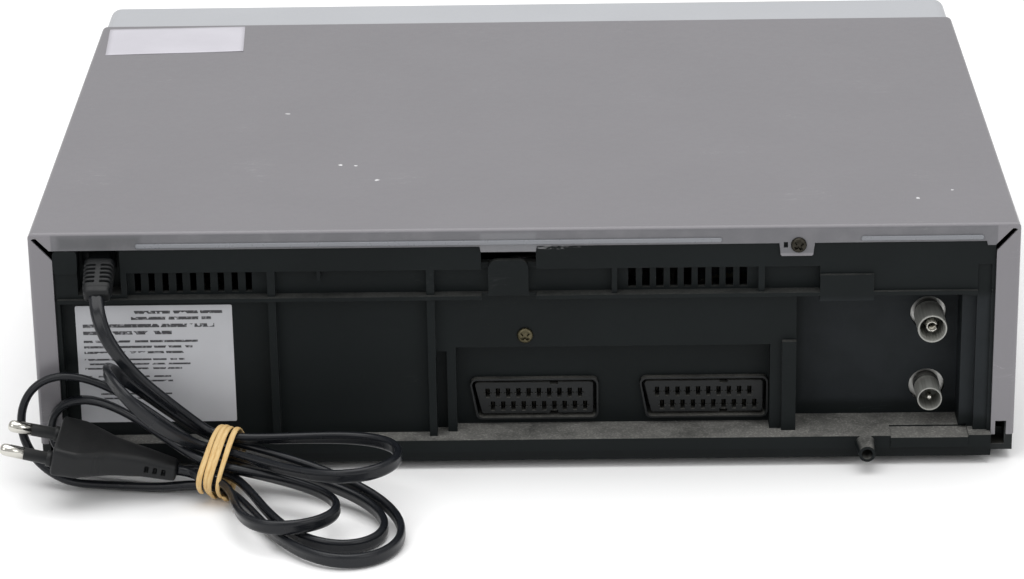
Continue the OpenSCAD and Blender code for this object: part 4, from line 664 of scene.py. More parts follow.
@dataclass(frozen=True)
class Finishes:
    """Every finish of the recorder."""

    cover: Finish = Finish("cover_paint", COVER, 0.34, grain_scale=1500, tone=0.05,
                           # The first box is painted shade over the whole rear flange
                           areas=((0, 88.2, 171.5, 4.9, 0.6, 0.45, srgb(48, 54, 58)),
                                  # Painted highlight: a lighter box over the tab
                                  (5.6, 88, 10, 4.2, 1.4, 0.16, srgb(150, 153, 156)),
                                  (154, 90, 15, 2.4, 3, 0.4, srgb(36, 40, 40))),
                           wear=0.2, wear_colour=(0.55, 0.55, 0.56), scuffs=0.2, dust=0.06, pattern=Pattern.CHIPPED,
                           second=(0.75, 0.75, 0.76), edge=0.0003,
                           chips=((93.5, 0, 1.1), (69.9, 59.6, 0.8), (64, 60.5, 0.6), (55.2, 76.5, 0.9),
                                  (-145, 102.2, 0.8), (-158.3, 94.2, 0.7)),
                           rubbed=((5.5, 88.2, 1.6, 0.3),))
    panel: Finish = Finish("silver_plastic", srgb(176, 178, 182), 0.38, specular=0.45, tone=0.05, wear=0.15, scuffs=0.1,
                           grain_scale=1700)
    bead: Finish = Finish("bead_paint", srgb(118, 120, 125), 0.3, specular=0.6, coat=0.1, grain_scale=1500,
                          grain_depth=0.01, tone=0.04, edge=0.0001)
    black: Finish = Finish("black_plastic", BLACK, 0.6, specular=0.16, grain_scale=2600, grain_depth=0.05, tone=0.3,
                           wear=0.3, wear_colour=(0.06, 0.062, 0.062), dust=1.0, dust_colour=srgb(140, 139, 135),
                           scuffs=0.15, pattern=Pattern.CHIPPED, second=srgb(176, 176, 178),
                           rubbed=((-9.8, 86.3, 4.8, 0.8), (-17, 86.5, 3.5, 0.25)),
                           areas=((-136, 41, 34, 24, 4, 0.14, srgb(74, 78, 84)),
                                  # Painted shade: a near-black strip along the bottom lip of the moulding
                                  (0, 3.4, 180, 3.6, 0.8, 0.55, srgb(6, 8, 9))))
    chassis: Finish = Finish("black_steel", BLACK, 0.5, specular=0.3, tone=0.2, wear=0.5, wear_colour=(0.3, 0.3, 0.3),
                             dust=0.3)
    dark: Finish = Finish("dark_plastic", srgb(44, 45, 47), 0.45, wear=0.2, wear_colour=(0.12, 0.12, 0.12))
    socket: Finish = Finish("socket_plastic", srgb(24, 26, 27), 0.5, specular=0.3, tone=0.2, wear=0.35,
                            wear_colour=(0.09, 0.09, 0.09), dust=0.8, dust_colour=srgb(120, 119, 114), edge=0.0002)
    cord: Finish = Finish("cord_rubber", srgb(21, 23, 27), 0.27, specular=0.3, grain_scale=1500, grain_depth=0.015,
                          tone=0.1, pattern=Pattern.CORD, second=srgb(29, 31, 35), edge=0.0001)
    moulded: Finish = Finish("moulded_rubber", srgb(15, 17, 19), 0.46, specular=0.3, grain_scale=1800,
                             grain_depth=0.03, wear=0.25, wear_colour=(0.05, 0.05, 0.052), dust=0.04,
                             edge=0.0004)
    band: Finish = Finish("band_rubber", srgb(216, 186, 130), 0.5, grain_scale=1200, grain_depth=0.05, tone=0.1,
                          pattern=Pattern.BAND, second=srgb(200, 160, 98), edge=0.0001)
    nickel: Finish = Finish("nickel", srgb(168, 169, 164), 0.42, metallic=0.35, pattern=Pattern.TURNED,
                            second=srgb(136, 136, 131), tone=0.2, dust=0.05, wear=0.8, wear_colour=(0.62, 0.62, 0.6),
                            edge=0.0002)
    pins: Finish = Finish("pin_nickel", srgb(205, 203, 196), 0.16, metallic=1.0, tone=0.1, scuffs=0.3,
                          wear_colour=(0.3, 0.3, 0.28), edge=0.0001)
    brass: Finish = Finish("bronze", srgb(98, 92, 72), 0.4, metallic=1.0, tone=0.35, dust=0.2, edge=0.0001)
    contact: Finish = Finish("contact_metal", srgb(40, 38, 33), 0.5, metallic=0.6, specular=0.2, tone=0.3, edge=0.0001)
    steel: Finish = Finish("plated_steel", STEEL, 0.34, metallic=1.0, pattern=Pattern.BRUSHED, second=(0.4, 0.41, 0.4),
                           tone=0.1)
    tinned: Finish = Finish("tinned_steel", (0.5, 0.5, 0.48), 0.36, metallic=1.0, tone=0.25, scuffs=0.2)
    aluminium: Finish = Finish("machined_aluminium", (0.72, 0.72, 0.71), 0.26, metallic=1.0, pattern=Pattern.TURNED,
                               second=(0.6, 0.6, 0.59), tone=0.05)
    screw: Finish = Finish("screw_steel", srgb(50, 47, 40), 0.34, metallic=0.8, tone=0.2, wear=0.4,
                           wear_colour=(0.3, 0.29, 0.26), edge=0.0001)
    rubber: Finish = Finish("foot_rubber", srgb(30, 30, 31), 0.8, specular=0.3, grain_depth=0.08, dust=0.2)
    belt: Finish = Finish("belt_rubber", srgb(22, 22, 22), 0.6, grain_depth=0.03)
    cream: Finish = Finish("cream_plastic", srgb(226, 219, 198), 0.4, tone=0.08, wear=0.1)
    board: Finish = Finish("circuit_board", srgb(30, 78, 44), 0.4, pattern=Pattern.TRACKS, second=srgb(48, 104, 58),
                           tone=0.1, grain_depth=0.03)
    power_board: Finish = Finish("power_circuit_board", srgb(150, 112, 62), 0.45, pattern=Pattern.TRACKS,
                                 second=srgb(122, 84, 44), tone=0.1, grain_depth=0.03)
    laminations: Finish = Finish("laminations", srgb(86, 82, 78), 0.45, metallic=0.7, pattern=Pattern.LAYERED,
                                 second=srgb(52, 48, 44), grain_depth=0.05)
    sleeve: Finish = Finish("capacitor_sleeve", srgb(28, 34, 66), 0.3, tone=0.1, wear=0.4, wear_colour=(0.5, 0.5, 0.5))
    tube_glass: Finish = Finish("display_glass", srgb(40, 48, 48), 0.12, specular=0.6, tone=0.2, grain_depth=0.002)
    segments: Finish = Finish("unlit_segments", srgb(128, 138, 134), 0.6, tone=0.1, grain_depth=0.005)
    keys: Finish = Finish("key_plastic", srgb(70, 72, 76), 0.35, tone=0.05, wear=0.3, wear_colour=(0.2, 0.2, 0.21))
    record: Finish = Finish("record_key", srgb(140, 34, 28), 0.35, tone=0.1, wear=0.3, wear_colour=(0.5, 0.2, 0.18))
    print: Finish = Finish("key_print", srgb(226, 228, 230), 0.5, tone=0.05, grain_depth=0.002)

    def built(self, fx: Effects) -> Materials:
        """Materials by the field that holds their finish."""
        return {key: getattr(self, key).material(fx) for key in self.__dataclass_fields__}


# Studio


@dataclass
class Studio:
    """Camera of the photograph, soft lights and the pale floor."""

    place: tuple[float, float, float] = (-0.01287, 1.35812, 0.56583)
    lens: float = 128.04
    yaw: float = 0.0141
    pitch: float = 0.3832
    roll: float = -0.0163
    floor_half: float = 7.0
    # Name, place, height of the target over the origin, size and power
    lights: tuple = (("overhead", (0.1, 0.15, 2.2), 0.0, 2.2, 38), ("front_left", (1.4, 1.9, 1.5), 0.04, 1.2, 9),
                     ("front_right", (-1.6, 1.7, 1.2), 0.04, 1.2, 8.5))

    def camera(self) -> None:
        """The solved camera: it looks towards low Y, pitched down, with a little roll."""
        fwd = Vector((math.sin(self.yaw) * math.cos(self.pitch), -math.cos(self.yaw) * math.cos(self.pitch),
                      -math.sin(self.pitch)))
        right = Vector((-math.cos(self.yaw), -math.sin(self.yaw), 0))
        up = right.cross(fwd)
        c, s = math.cos(self.roll), math.sin(self.roll)
        axes = (c * right + s * up, -s * right + c * up, -fwd)
        cam = linked("camera", bpy.data.cameras.new("camera"))
        cam.data.lens = self.lens
        cam.data.sensor_width = 36
        cam.data.clip_end = 50
        cam.matrix_world = Matrix.Translation(self.place) @ Matrix(axes).transposed().to_4x4()
        bpy.context.scene.camera = cam

    def soft_light(self, name: str, place: Row, height: float, size: float, watts: float) -> None:
        """A square area light at a place, aimed at a height over the origin."""
        obj = linked(name, bpy.data.lights.new(name, "AREA"))
        obj.data.size = size
        obj.data.energy = watts
        obj.location = place
        obj.rotation_euler = (Vector((0, 0, height)) - Vector(place)).to_track_quat("-Z", "Y").to_euler()

    def surroundings(self) -> None:
        """White to the camera, a softer grey-white to the surfaces."""
        world = bpy.data.worlds.new("studio")
        world.use_nodes = True
        t = Tree(world.node_tree)
        strength = t.math("MULTIPLY_ADD", t.add("LightPath").outputs["Is Camera Ray"], 0.5, 0.6)
        back = t.add("Background", {"Color": (1, 1, 1, 1), "Strength": strength})
        t.add("OutputWorld", {"Surface": back.outputs[0]})
        bpy.context.scene.world = world
        bpy.context.scene.view_settings.view_transform = "Standard"

    def floor(self) -> None:
        """A pale floor, a grid of four quads, with a faint paper grain."""
        side = np.linspace(-self.floor_half, self.floor_half, 3)
        x, y = np.meshgrid(side, side)
        obj = new_object("floor", np.stack([x, y, np.zeros_like(x)], -1), grid_quads(3, 3, False))
        mat, t, vector = new_material("pale_floor")
        base = t.blend(t.span(t.noise(vector, 3.0, 2), 0.3, 0.7), (0.95, 0.95, 0.95), (0.98, 0.98, 0.98))
        t.surface({"Base Color": base, "Roughness": 0.9, "Specular IOR Level": 0.1})
        obj.data.materials.append(mat)

    def build(self) -> None:
        """Sets up the camera, the world, the floor and the lights."""
        self.camera()
        self.surroundings()
        self.floor()
        for light in self.lights:
            self.soft_light(*light)


# Mains lead


@dataclass
class MainsLead:
    """The fixed mains lead: free stretch, hank, band, plug and strain relief. Route in mm behind the cover."""

    width: float = 5.4
    thickness: float = 3.1
    exit: tuple[float, float, float] = (155.2, 12, 73.6)
    free: tuple = ((154.6, 11, 74.2), (153.6, 17, 70), (150.8, 21.3, 62.8), (145.8, 23.3, 55), (138.6, 23.6, 46.2),
                   (129.5, 22.3, 37), (120.5, 18.8, 27.4), (114.9, 18.2, 22.9))
    # Tip of a lobe, half its width there, its lean and its turn in degrees
    lobes: tuple = (((46.5, 43, 22), 40.5, 19, 0), ((150, 25, 48.6), 39.3, 1, -19), ((50, 80, 3), 53.5, 43, 0),
                    ((185, 8, 27.1), 47, 74, 10), ((55.7, 70.7, 2.9), 42.7, 50, 0),
                    ((174.8, 3.6, 21.3), 33.3, 88, 15), ((76.3, 70.4, 10.1), 41.8, 63, 0))
    # Places of the strands in the waist, in steps and layers
    slots: tuple = ((-1.5, 0.5), (-0.5, 0.5), (-1.5, -0.5), (1.5, -0.5), (-0.5, -0.5), (0.5, -0.5), (0.5, 0.5),
                    (1.5, 0.5))
    waist: tuple[float, float, float] = (111.6, 22.9, 13.3)
    strand_step: float = 5.8
    strand_layer: float = 7.0
    waist_run: float = 34.0
    plug_face: tuple[float, float, float] = (173.6, 24.6, 21.2)
    plug_tail: tuple[float, float, float] = (127, 25.7, 11.2)
    plug_length: float = 44.6
    plug_rise: float = 0.8
    plug_roll: float = 5.0
    pin_gap: float = 9.3
    pin_lean: float = 1.65
    relief_length: float = 22.0
    relief_tilt: float = 25.0
    band_size: tuple[float, float] = (12.4, 8.4)
    band_turns: int = 4
    steps: int = 40
    length: float = 1.217
    bundle: Array = field(init=False)
    across: Array = field(init=False)
    over: Array = field(init=False)

    def __post_init__(self) -> None:
        """Works out the directions of the bundle in the waist."""
        self.bundle = unit(np.array([-1, 0.3, -0.1]))
        seed = np.array([0, math.cos(math.pi / 4), -math.sin(math.pi / 4)])
        self.across = unit(seed - self.bundle * (seed @ self.bundle))
        self.over = np.cross(self.across, self.bundle)

    def strand(self, j: int) -> Array:
        """Place of strand j in the waist, from its middle."""
        a, b = self.slots[j]
        return a * self.strand_step * self.across + b * self.strand_layer * self.over

    def lobe(self, j: int) -> tuple[Array, Array]:
        """Points and wide directions of lobe j.

        Out along the bundle by sin(180 f), and from side to side by -cos(180 f):
        waist + c out + c^2 (tip - waist - out) + (1 - c^2) base + bulge s c^2 across.

        Args:
            j: number of the lobe; even ones point to low X.

        Returns:
            Points in mm behind the cover, and directions.
        """
        tip, bulge, lean, turn = self.lobes[j]
        side = 1 if j % 2 == 0 else -1
        a, b = math.radians(lean), math.radians(turn)
        if side > 0:
            across, up = np.array([math.sin(a), math.cos(a), 0]), np.array([0, 0, 1.0])
        else:
            across = np.array([math.sin(b), math.cos(a) * math.cos(b), -math.sin(a) * math.cos(b)])
            up = np.array([0, math.sin(a), math.cos(a)])
        f = np.linspace(0, 1, self.steps + 1)[:, None]
        c, s = np.sin(math.pi * f), -side * np.cos(math.pi * f)
        g = f * f * (3 - 2 * f)
        out = side * self.waist_run * self.bundle
        base = (1 - g) * self.strand(j) + g * self.strand(j + 1)
        waist = np.array(self.waist)
        p = waist + c * out + c**2 * (np.array(tip) - waist - out) + (1 - c**2) * base + bulge * s * c**2 * across
        p[:, 2] = np.maximum(p[:, 2], self.width / 2 + 0.06)
        return p, (1 - c**2) * self.over + c**2 * up

    def route(self) -> tuple[Array, Array]:
        """The whole centre line and its wide directions, evenly spaced, in metres."""
        waist = np.array(self.waist)
        free = hermite(np.array([*self.free, waist + self.strand(0)]), 8)[:-1]
        share = np.linspace(0, 1, len(free))[:, None]
        parts, wides = [free], [(1 - share) * np.array([-1.0, 0, 0]) + share * self.over]
        for j in range(len(self.lobes)):
            p, w = self.lobe(j)
            parts.append(p[:-1])
            wides.append(w[:-1])
        stop, tail = waist + self.strand(len(self.lobes)), np.array(self.plug_tail)
        axis = unit(np.array(self.plug_face) - tail)
        end = hermite(np.array([stop, stop - 0.7 * self.width * self.bundle, tail - self.width * axis, tail]), 6)
        parts.append(end)
        wides.append(np.repeat(self.over[None], len(end), 0))
        both = evenly(np.concatenate([np.concatenate(parts), np.concatenate(wides) * 1e-3], 1), 1.0, 4)
        return millimetres(both[:, :3]), unit(both[:, 3:])

    def sheath(self) -> Array:
        """Section of the flat cord in metres: a stadium whose flat faces dip between the two cores."""
        a = circle(28)
        r = self.thickness / 2
        x = (self.width / 2 - r) * powered(np.cos(a), 0.4) + r * np.cos(a)
        y = r * powered(np.sin(a), 0.85) * (1 - 0.2 * np.exp(-((x / 0.75) ** 2)))
        return np.stack([x, y], -1) * MM

    def band(self) -> Obj:
        """Four turns of a flat elastic round the waist.

        A squared circle drifts along the bundle by one strand a turn, more at the top than at
        the bottom. A sine of 0.37 of the rate makes neighbours close up and part.
        """
        turns = self.band_turns
        a = np.linspace(0, 2 * math.pi * turns, 72 * turns + 1)
        drift = 1.2 + 2.0 * (a / (2 * math.pi) - turns / 2) * (1 + 0.16 * np.sin(a + 0.6)) + 0.45 * np.sin(0.37 * a)
        lift = 0.35 * (1 + np.cos(a / 2 + 0.5))
        p = np.array(self.waist) + drift[:, None] * self.bundle
        for size, swing, way in zip(self.band_size, (np.cos(a), np.sin(a)), (self.across, self.over)):
            p = p + ((size + lift) * powered(swing, 0.6))[:, None] * way
        p[:, 2] = np.maximum(p[:, 2], 0.85)
        p = evenly(p, 0.5, 6)
        k, s = circle(12), np.linspace(0, 1, len(p))[:, None]
        half = 0.98 + 0.12 * np.sin(s * 47)
        section = np.stack([half * np.cos(k), 0.5 * np.sin(k) * np.ones_like(s)], -1) * MM
        return ring_grid("band_turns", swept(millimetres(p), np.repeat(self.bundle[None], len(p), 0), section))

    def plug_frame(self) -> tuple[Array, Array, Array, Array]:
        """Tail point in metres, and the axis, side and top directions of the plug."""
        axis, roll = unit(np.array(self.plug_face) - np.array(self.plug_tail)), math.radians(self.plug_roll)
        seed = np.array([0, -math.cos(roll), math.sin(roll)])
        side = unit(seed - axis * (seed @ axis))
        return millimetres([self.plug_tail])[0], axis, side, np.cross(axis, side)

    def plug(self) -> Obj:
        """Body of the plug: rings of a rounded box whose half sizes follow the moulding from tail to face.

        Three slots dip into each narrow side by exp(-(x / 0.6)^4) exp(-(z / 1.2)^6). Near the face a pad with
        three grip ribs stands out of the sides, and a finger dish dips into the broad faces.
        """
        length = self.plug_length
        x = np.concatenate([[0, 0.15, 0.5], np.linspace(1, length - 1.2, 240), length - np.array([0.8, 0.4, 0.12, 0])])
        half_w = np.interp(x, [0, 5, 16, 24, 31, 35.5, length], [4.1, 4.7, 6.1, 7.9, 10.8, 13.2, 13.4])
        half_t = np.interp(x, [0, 16, 24, 32, 36, length], [3.4, 4.5, 5.0, 5.7, 5.9, 6.0])
        half_w[7:-7] = np.convolve(half_w, np.ones(15) / 15, "valid")
        shrink = rounding(np.minimum(x, length - x), 1.2)
        a = circle(144)[None]
        c, s = np.cos(a), np.sin(a)
        p = np.interp(x, [0, 16, 30, length], [0.62, 0.5, 0.3, 0.24])[:, None]
        h = half_t[:, None] - shrink
        level = h * powered(s, p)
        slots = 1.7 * humps(x, (4.6, 7.7, 10.8), 0.6) * np.exp(-((level / 1.2) ** 6))
        pad = humps(x, [length - 10.5], 7.5, 8) * np.exp(-((level / 4.2) ** 8))
        ribs = humps(x, [length - g for g in (14.5, 16, 17.5)], 0.35, 2)
        w = half_w[:, None] - shrink + (np.abs(c) > 0.5) * (pad * (0.45 + 0.25 * ribs) - slots)
        dish = 0.5 * humps(x, [36], 6.5) * np.exp(-((c * 1.5) ** 4))
        rise = self.plug_rise * np.interp(x, [0, 12, length], [0, 1, 1])[:, None]
        return ring_grid("plug_moulding", self.placed(self.plug_frame(), x, w * powered(c, p),
                                                      (h - dish) * powered(s, p) - rise))

    @staticmethod
    def placed(axes: tuple[Array, Array, Array, Array], x: Array, y: Array, z: Array) -> Array:
        """Rings in metres from mm along an axis and columns of mm to its side and top."""
        start, axis, side, top = axes
        return start + MM * (x[:, None, None] * axis + y[..., None] * side + z[..., None] * top)

    def pins(self) -> tuple[Obj, Obj]:
        """The two pins turned in nickel, and the insulating sleeves with a collar at their roots."""
        tail, axis, side, _ = self.plug_frame()
        tip = [(0.0102, 0.0), (0.0102, 0.00225), (0.0172, 0.00225), (0.0180, 0.0021), (0.0186, 0.00175),
               (0.019, 0.00125), (0.0192, 0.0006), (0.01925, 0.0001)]
        cuff = [(-0.0008, 0.0029), (0.0018, 0.0029), (0.0021, 0.0027), (0.0022, 0.0023), (0.0103, 0.00227),
                (0.0105, 0.0021), (0.0105, 0.0005)]
        pins, sleeves = [], []
        for s in (-1, 1):
            lean = math.radians(self.pin_lean) * -s
            line = math.cos(lean) * axis + math.sin(lean) * side
            root = tail + self.plug_length * MM * axis + self.pin_gap * MM * s * side
            pins.append(turned(root, line, tip))
            sleeves.append(turned(root, line, cuff))
        return joined("plug_pin_tips", pins), joined("plug_pin_sleeves", sleeves)

    def relief(self) -> Obj:
        """Strain relief: rings of a rounded box from its neck to its mouth, with five pairs of grooves.

        A groove takes 0.95 exp(-(x / 0.42)^4) mm off every side, except on the bar within 1 mm of the middle.
        The neck behind it goes through the wall to a flange.
        """
        tilt, length, power = math.radians(self.relief_tilt), self.relief_length, 0.42
        axis, top = np.array([0, math.cos(tilt), -math.sin(tilt)]), np.array([0, math.sin(tilt), math.cos(tilt)])
        start = millimetres([self.exit])[0] - length * MM * axis - np.array([0.8 * MM, 0, 0])
        x = np.concatenate([np.linspace(0, 4.7, 10), np.linspace(4.8, length - 1.3, 170),
                            length - np.array([0.9, 0.5, 0.2, 0])])
        stations = [0, 4.7, 5.2, 6.1, 18.8, 19.3, length]
        half_w = np.interp(x, stations, [4.2, 4.2, 5.2, 5.6, 5.2, 4.95, 4.8])[:, None]
        half_t = np.interp(x, stations, [2.9, 2.9, 3.6, 4.0, 3.5, 3.3, 2.9])[:, None]
        r = np.concatenate([[0, 0.1], np.linspace(0.15, 0.35, 9), np.linspace(0.42, 1, 9)]) ** (1 / power)
        quarter = np.unique(np.round(np.concatenate([np.arcsin(r), np.arccos(r)]), 6))[:-1]
        a = np.concatenate([quarter + k * math.pi / 2 for k in range(4)])[None]
        level_y, level_z = powered(np.cos(a), power), powered(np.sin(a), power)
        grooves = humps(x, (9.0, 10.9, 12.8, 14.8, 16.8), 0.42)
        cut = rounding(length - x, 1.3) + 0.95 * grooves * np.clip((half_w * np.abs(level_y) - 0.95) / 0.3, 0, 1)
        body = self.placed((start, axis, np.array([-1.0, 0, 0]), top), x, (half_w - cut) * level_y,
                           (half_t - cut) * level_z)
        x0 = self.exit[0] * MM
        neck = slab(rounded_box(0.012, 0.0082, 0.001), (x0, 0.117, 0.0816), *TO_REAR, 0.0056)
        flange = slab(rounded_box(0.016, 0.013, 0.001), (x0, 0.115, 0.0815), *TO_REAR, 0.0028)
        return joined("lead_relief", [body, neck, flange])

    def build(self, m: Materials) -> None:
        path, wide = self.route()
        lead = ring_grid("mains_lead", swept(path, wide, self.sheath()))
        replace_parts(lead, "mains_cord_run", "mains_cord_hank")
        dressed(lead, "root", "cord_rubber", m["cord"])
        band = dressed(self.band(), "root", "band_rubber", m["band"])
        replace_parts(band, "rubber_band")
        body = dressed(self.plug(), "root", "cord_rubber", m["moulded"])
        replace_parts(body, "plug_body")
        tips, sleeves = self.pins()
        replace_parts(dressed(tips, "root", "nickel", m["pins"]), "plug_pins")
        dressed(sleeves, "root", "cord_rubber", m["moulded"])
        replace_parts(dressed(self.relief(), "root", "cord_rubber", m["moulded"]), "strain_relief")
        LOG.info("lead is %.3f m long", travelled(path)[-1])


# Casing


@dataclass
class Casing:
    """Steel cover, rear moulding, chassis, feet and what is stuck on them."""

    label_x: tuple[float, float] = (107.3, 164.9)
    label_z: tuple[float, float] = (17.0, 63.6)
    margin: float = 2.5
    bay_depth: float = 5.0
    bead_spans: tuple = ((-71.9, 140.9), (-166.6, -122.1))
    bead_z: float = 88.8
    bead_half: float = 0.85
    bead_proud: float = 0.8
    # Place of a screw, its direction in X and Y, radius and height of its head, turn of its cross
    screw_places: tuple = ((-99.6, 129, 86.5, 0, 1, 2.9, 1.7, 0.6), (178.4, 84, 20, 1, 0, 3.6, 1.5, 0.3),
                           (-178.4, 84, 20, -1, 0, 3.6, 1.5, 1.1))
    sticker: tuple = ((176.1, -240.1), (119.0, -241.9), (117.3, -208.7), (174.3, -205.6))
    # Height of a row on the label, height of its bars, and the shares of the width where it starts and ends
    rows: tuple = ((60.9, 1.2, 0.34, 0.98), (58.5, 1.2, 0.34, 0.9), (55.6, 1.4, 0, 0.92), (52.8, 1.4, 0, 0.62),
                   (49.4, 0.9, 0, 0.8), (47.2, 0.9, 0, 0.76), (45, 0.9, 0, 0.7), (42.2, 0.7, 0, 0.7),
                   (40.4, 0.7, 0, 0.74), (38.6, 0.7, 0, 0.68), (35.4, 0.7, 0, 0.6), (33.6, 0.7, 0, 0.64),
                   (28.4, 0.7, 0.1, 0.6), (26.6, 0.7, 0.1, 0.5))

    def label(self, fx: Effects) -> None:
        """Thin film plate in the label bay, its face towards the rear, with rows of plain bars."""
        (x0, x1), (z0, z1) = self.label_x, self.label_z
        outline = rounded_box((x1 - x0) * MM, (z1 - z0) * MM, 0.6 * MM)
        origin = ((x0 + x1) / 2 * MM, REAR_Y - self.bay_depth * MM, (z0 + z1) / 2 * MM)
        obj = ring_grid("rating_plate", slab(outline, origin, *TO_REAR, 0.12 * MM), smooth=False)
        left, wide = x1 - self.margin, x1 - x0 - 2 * self.margin
        bars = tuple((left - (a + b) / 2 * wide, z, (b - a) / 2 * wide, h / 2) for z, h, a, b in self.rows)
        finish = PaperLabel("label_film", srgb(191, 192, 196), rows=bars)
        dressed(obj, "root", "silver_plastic", finish.material(fx))

    def paper_sticker(self, fx: Effects) -> None:
        """Paper sticker on the cover: a grid between its corners, with one lifted edge."""
        a, b, c, d = millimetres([(x, y, CASING_TOP / MM) for x, y in self.sticker])
        f, g = np.meshgrid(np.linspace(0, 1, 25), np.linspace(0, 1, 17), indexing="ij")
        f, g = f[..., None], g[..., None]
        p = (1 - f) * (1 - g) * a + f * (1 - g) * b + f * g * c + (1 - f) * g * d
        lift = 0.06 + 0.5 * np.clip(f + g - 1.75, 0, 1) ** 1.5 + 0.02 * np.sin(9 * f + 5 * g)
        p[..., 2:] += lift * MM
        obj = new_object("paper_sticker", p, grid_quads(25, 17, False)[:, ::-1])
        obj.modifiers.new("thickness", "SOLIDIFY").thickness = 0.1 * MM
        dressed(obj, "root", "cover_paint", PaperLabel("sticker_paper", srgb(196, 194, 201)).material(fx))

    def beads(self) -> Obj:
        """Stiffening beads on the rear flange: half of a squared ellipse, power 0.55, along X.

        At a distance d from an end the half height is sqrt(1 - (1 - d / h)^2) of the full h.
        """
        half, parts = self.bead_half, []
        inset = half * (1 - np.cos(np.linspace(0.12, 1.57, 9)))
        k = np.linspace(-math.pi / 2, math.pi / 2, 17)[None]
        for x0, x1 in self.bead_spans:
            x = np.concatenate([x0 + inset, np.linspace(x0 + half, x1 - half, 24)[1:-1], x1 - inset[::-1]])
            d = np.minimum(np.minimum(x - x0, x1 - x), half)
            scale = np.sqrt(1 - (1 - d / half) ** 2)[:, None]
            y, z = self.bead_proud * scale * powered(np.cos(k), 0.55), half * scale * powered(np.sin(k), 0.55)
            front = np.stack([np.repeat(x[:, None], 17, 1), y, z + self.bead_z], -1)
            back = front[:, [-1, 0]] - np.array([0, 0.2, 0])
            parts.append(millimetres(np.concatenate([front, back], 1)))
        return joined("flange_beads", parts)

    def screws(self) -> Obj:
        """The rear screw of the cover and the two at its sides, with cross recesses."""
        heads = [screw_head((x * MM, y * MM, z * MM), (ax, ay, 0), r, h, turn)
                 for x, y, z, ax, ay, r, h, turn in self.screw_places]
        return joined("cover_screw_heads", heads)

    def build(self, m: Materials, fx: Effects) -> None:
        """Dresses the casing."""
        paint(m["cover"], "top_cover")
        paint(m["black"], "rear_panel")
        paint(m["chassis"], "bottom_chassis")
        paint(m["rubber"], "feet")
        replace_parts(dressed(self.screws(), "root", "plated_steel", m["screw"]), "cover_screws")
        dressed(self.beads(), "root", "cover_paint", m["bead"])
        self.label(fx)
        self.paper_sticker(fx)


@dataclass
class RearSockets:
    """The two square sockets, the two aerial sockets and their contacts."""

    aerial_x: float = -149.1
    root_y: float = 108.4
    contact_y: float = 110.4
    tube_r: float = 2.1
    flute_count: int = 24
    # Node, height, reach from the root, outer radius, bore radius, depth of the flutes
    aerials: tuple = (("aerial_socket", 52.0, 18.6, 5.4, 4.75, 0.35), ("output_socket", 22.9, 16.0, 4.6, 4.05, 0.0))

    def barrel(self, z: float, reach: float, outer: float, inner: float, flutes: float) -> Array:
        """Rings of an aerial socket: a collar, a thin barrel, and a bore with flutes in its wall."""
        a = -circle(144)[None]
        flange = outer + 0.15
        profile = np.array([(4.4, flange - 0.2, 0), (4.6, flange, 0), (5.2, flange, 0), (5.35, flange - 0.15, 0),
                            (5.4, outer + 0.1, 0), (5.42, outer, 0), (5.8, outer, 0), (reach - 0.5, outer, 0),
                            (reach - 0.15, outer - 0.06, 0), (reach, outer - 0.25, 0), (reach, inner + 0.15, 0),
                            (reach - 0.2, inner, 0), (reach - 1, inner, 0), (reach - 1.6, inner, flutes),
                            (5.2, inner, flutes), (4.8, inner, 0), (4.7, 0.1, 0)])
        y, radius, depth = profile.T[..., None]
        radius = radius - depth * (0.5 + 0.5 * np.cos(self.flute_count * a))
        points = np.stack([radius * np.cos(a), y * np.ones_like(a), radius * np.sin(a)], -1)
        return MM * (points + np.array([self.aerial_x, self.root_y, z]))

    def centres(self) -> Obj:
        """Centre contacts of the aerial sockets: a split tube above, a round-tipped pin below."""
        a = np.radians(np.linspace(24, 336, 53))
        arc = np.stack([np.cos(a), np.sin(a)], -1)
        split = np.concatenate([self.tube_r * arc, (self.tube_r - 0.55) * arc[::-1]]) * MM
        high, low = (MM * np.array([self.aerial_x, self.contact_y, z]) for _, z, *_ in self.aerials)
        tube = slab(split, high, *TO_REAR, 0.0142)
        profile = [(0, 0.0011), (0.0115, 0.0011), (0.0122, 0.00095), (0.0126, 0.0006), (0.0128, 0.0001)]
        return joined("aerial_centres", [tube, turned(low, (0, 1, 0), profile, 32)])

    def build(self, m: Materials) -> None:
        """Dresses the sockets."""
        paint(m["socket"], "socket_one", "socket_two")
        paint(m["contact"], "socket_contacts")
        paint(m["tinned"], "tuner_can")
        roots = []
        for node, z, *sizes in self.aerials:
            skin = joined(node + "_barrel", [self.barrel(z, *sizes)])
            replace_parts(dressed(skin, "root", "nickel", m["nickel"]), node)
            roots.append(turned(MM * np.array([self.aerial_x, self.root_y, z]), (0, 1, 0),
                                [(0, 0.0048), (0.0043, 0.0048)]))
        dressed(joined("aerial_roots", roots), "root", "black_plastic", m["socket"])
        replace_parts(dressed(self.centres(), "root", "nickel", m["pins"]), "aerial_contacts")
        head = screw_head((0, 0.124, 0.0502), (0, 1, 0), 3.0, 1.8, 0.75)
        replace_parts(dressed(joined("socket_screw_head", [head]), "root", "bronze", m["brass"]), "socket_screw")


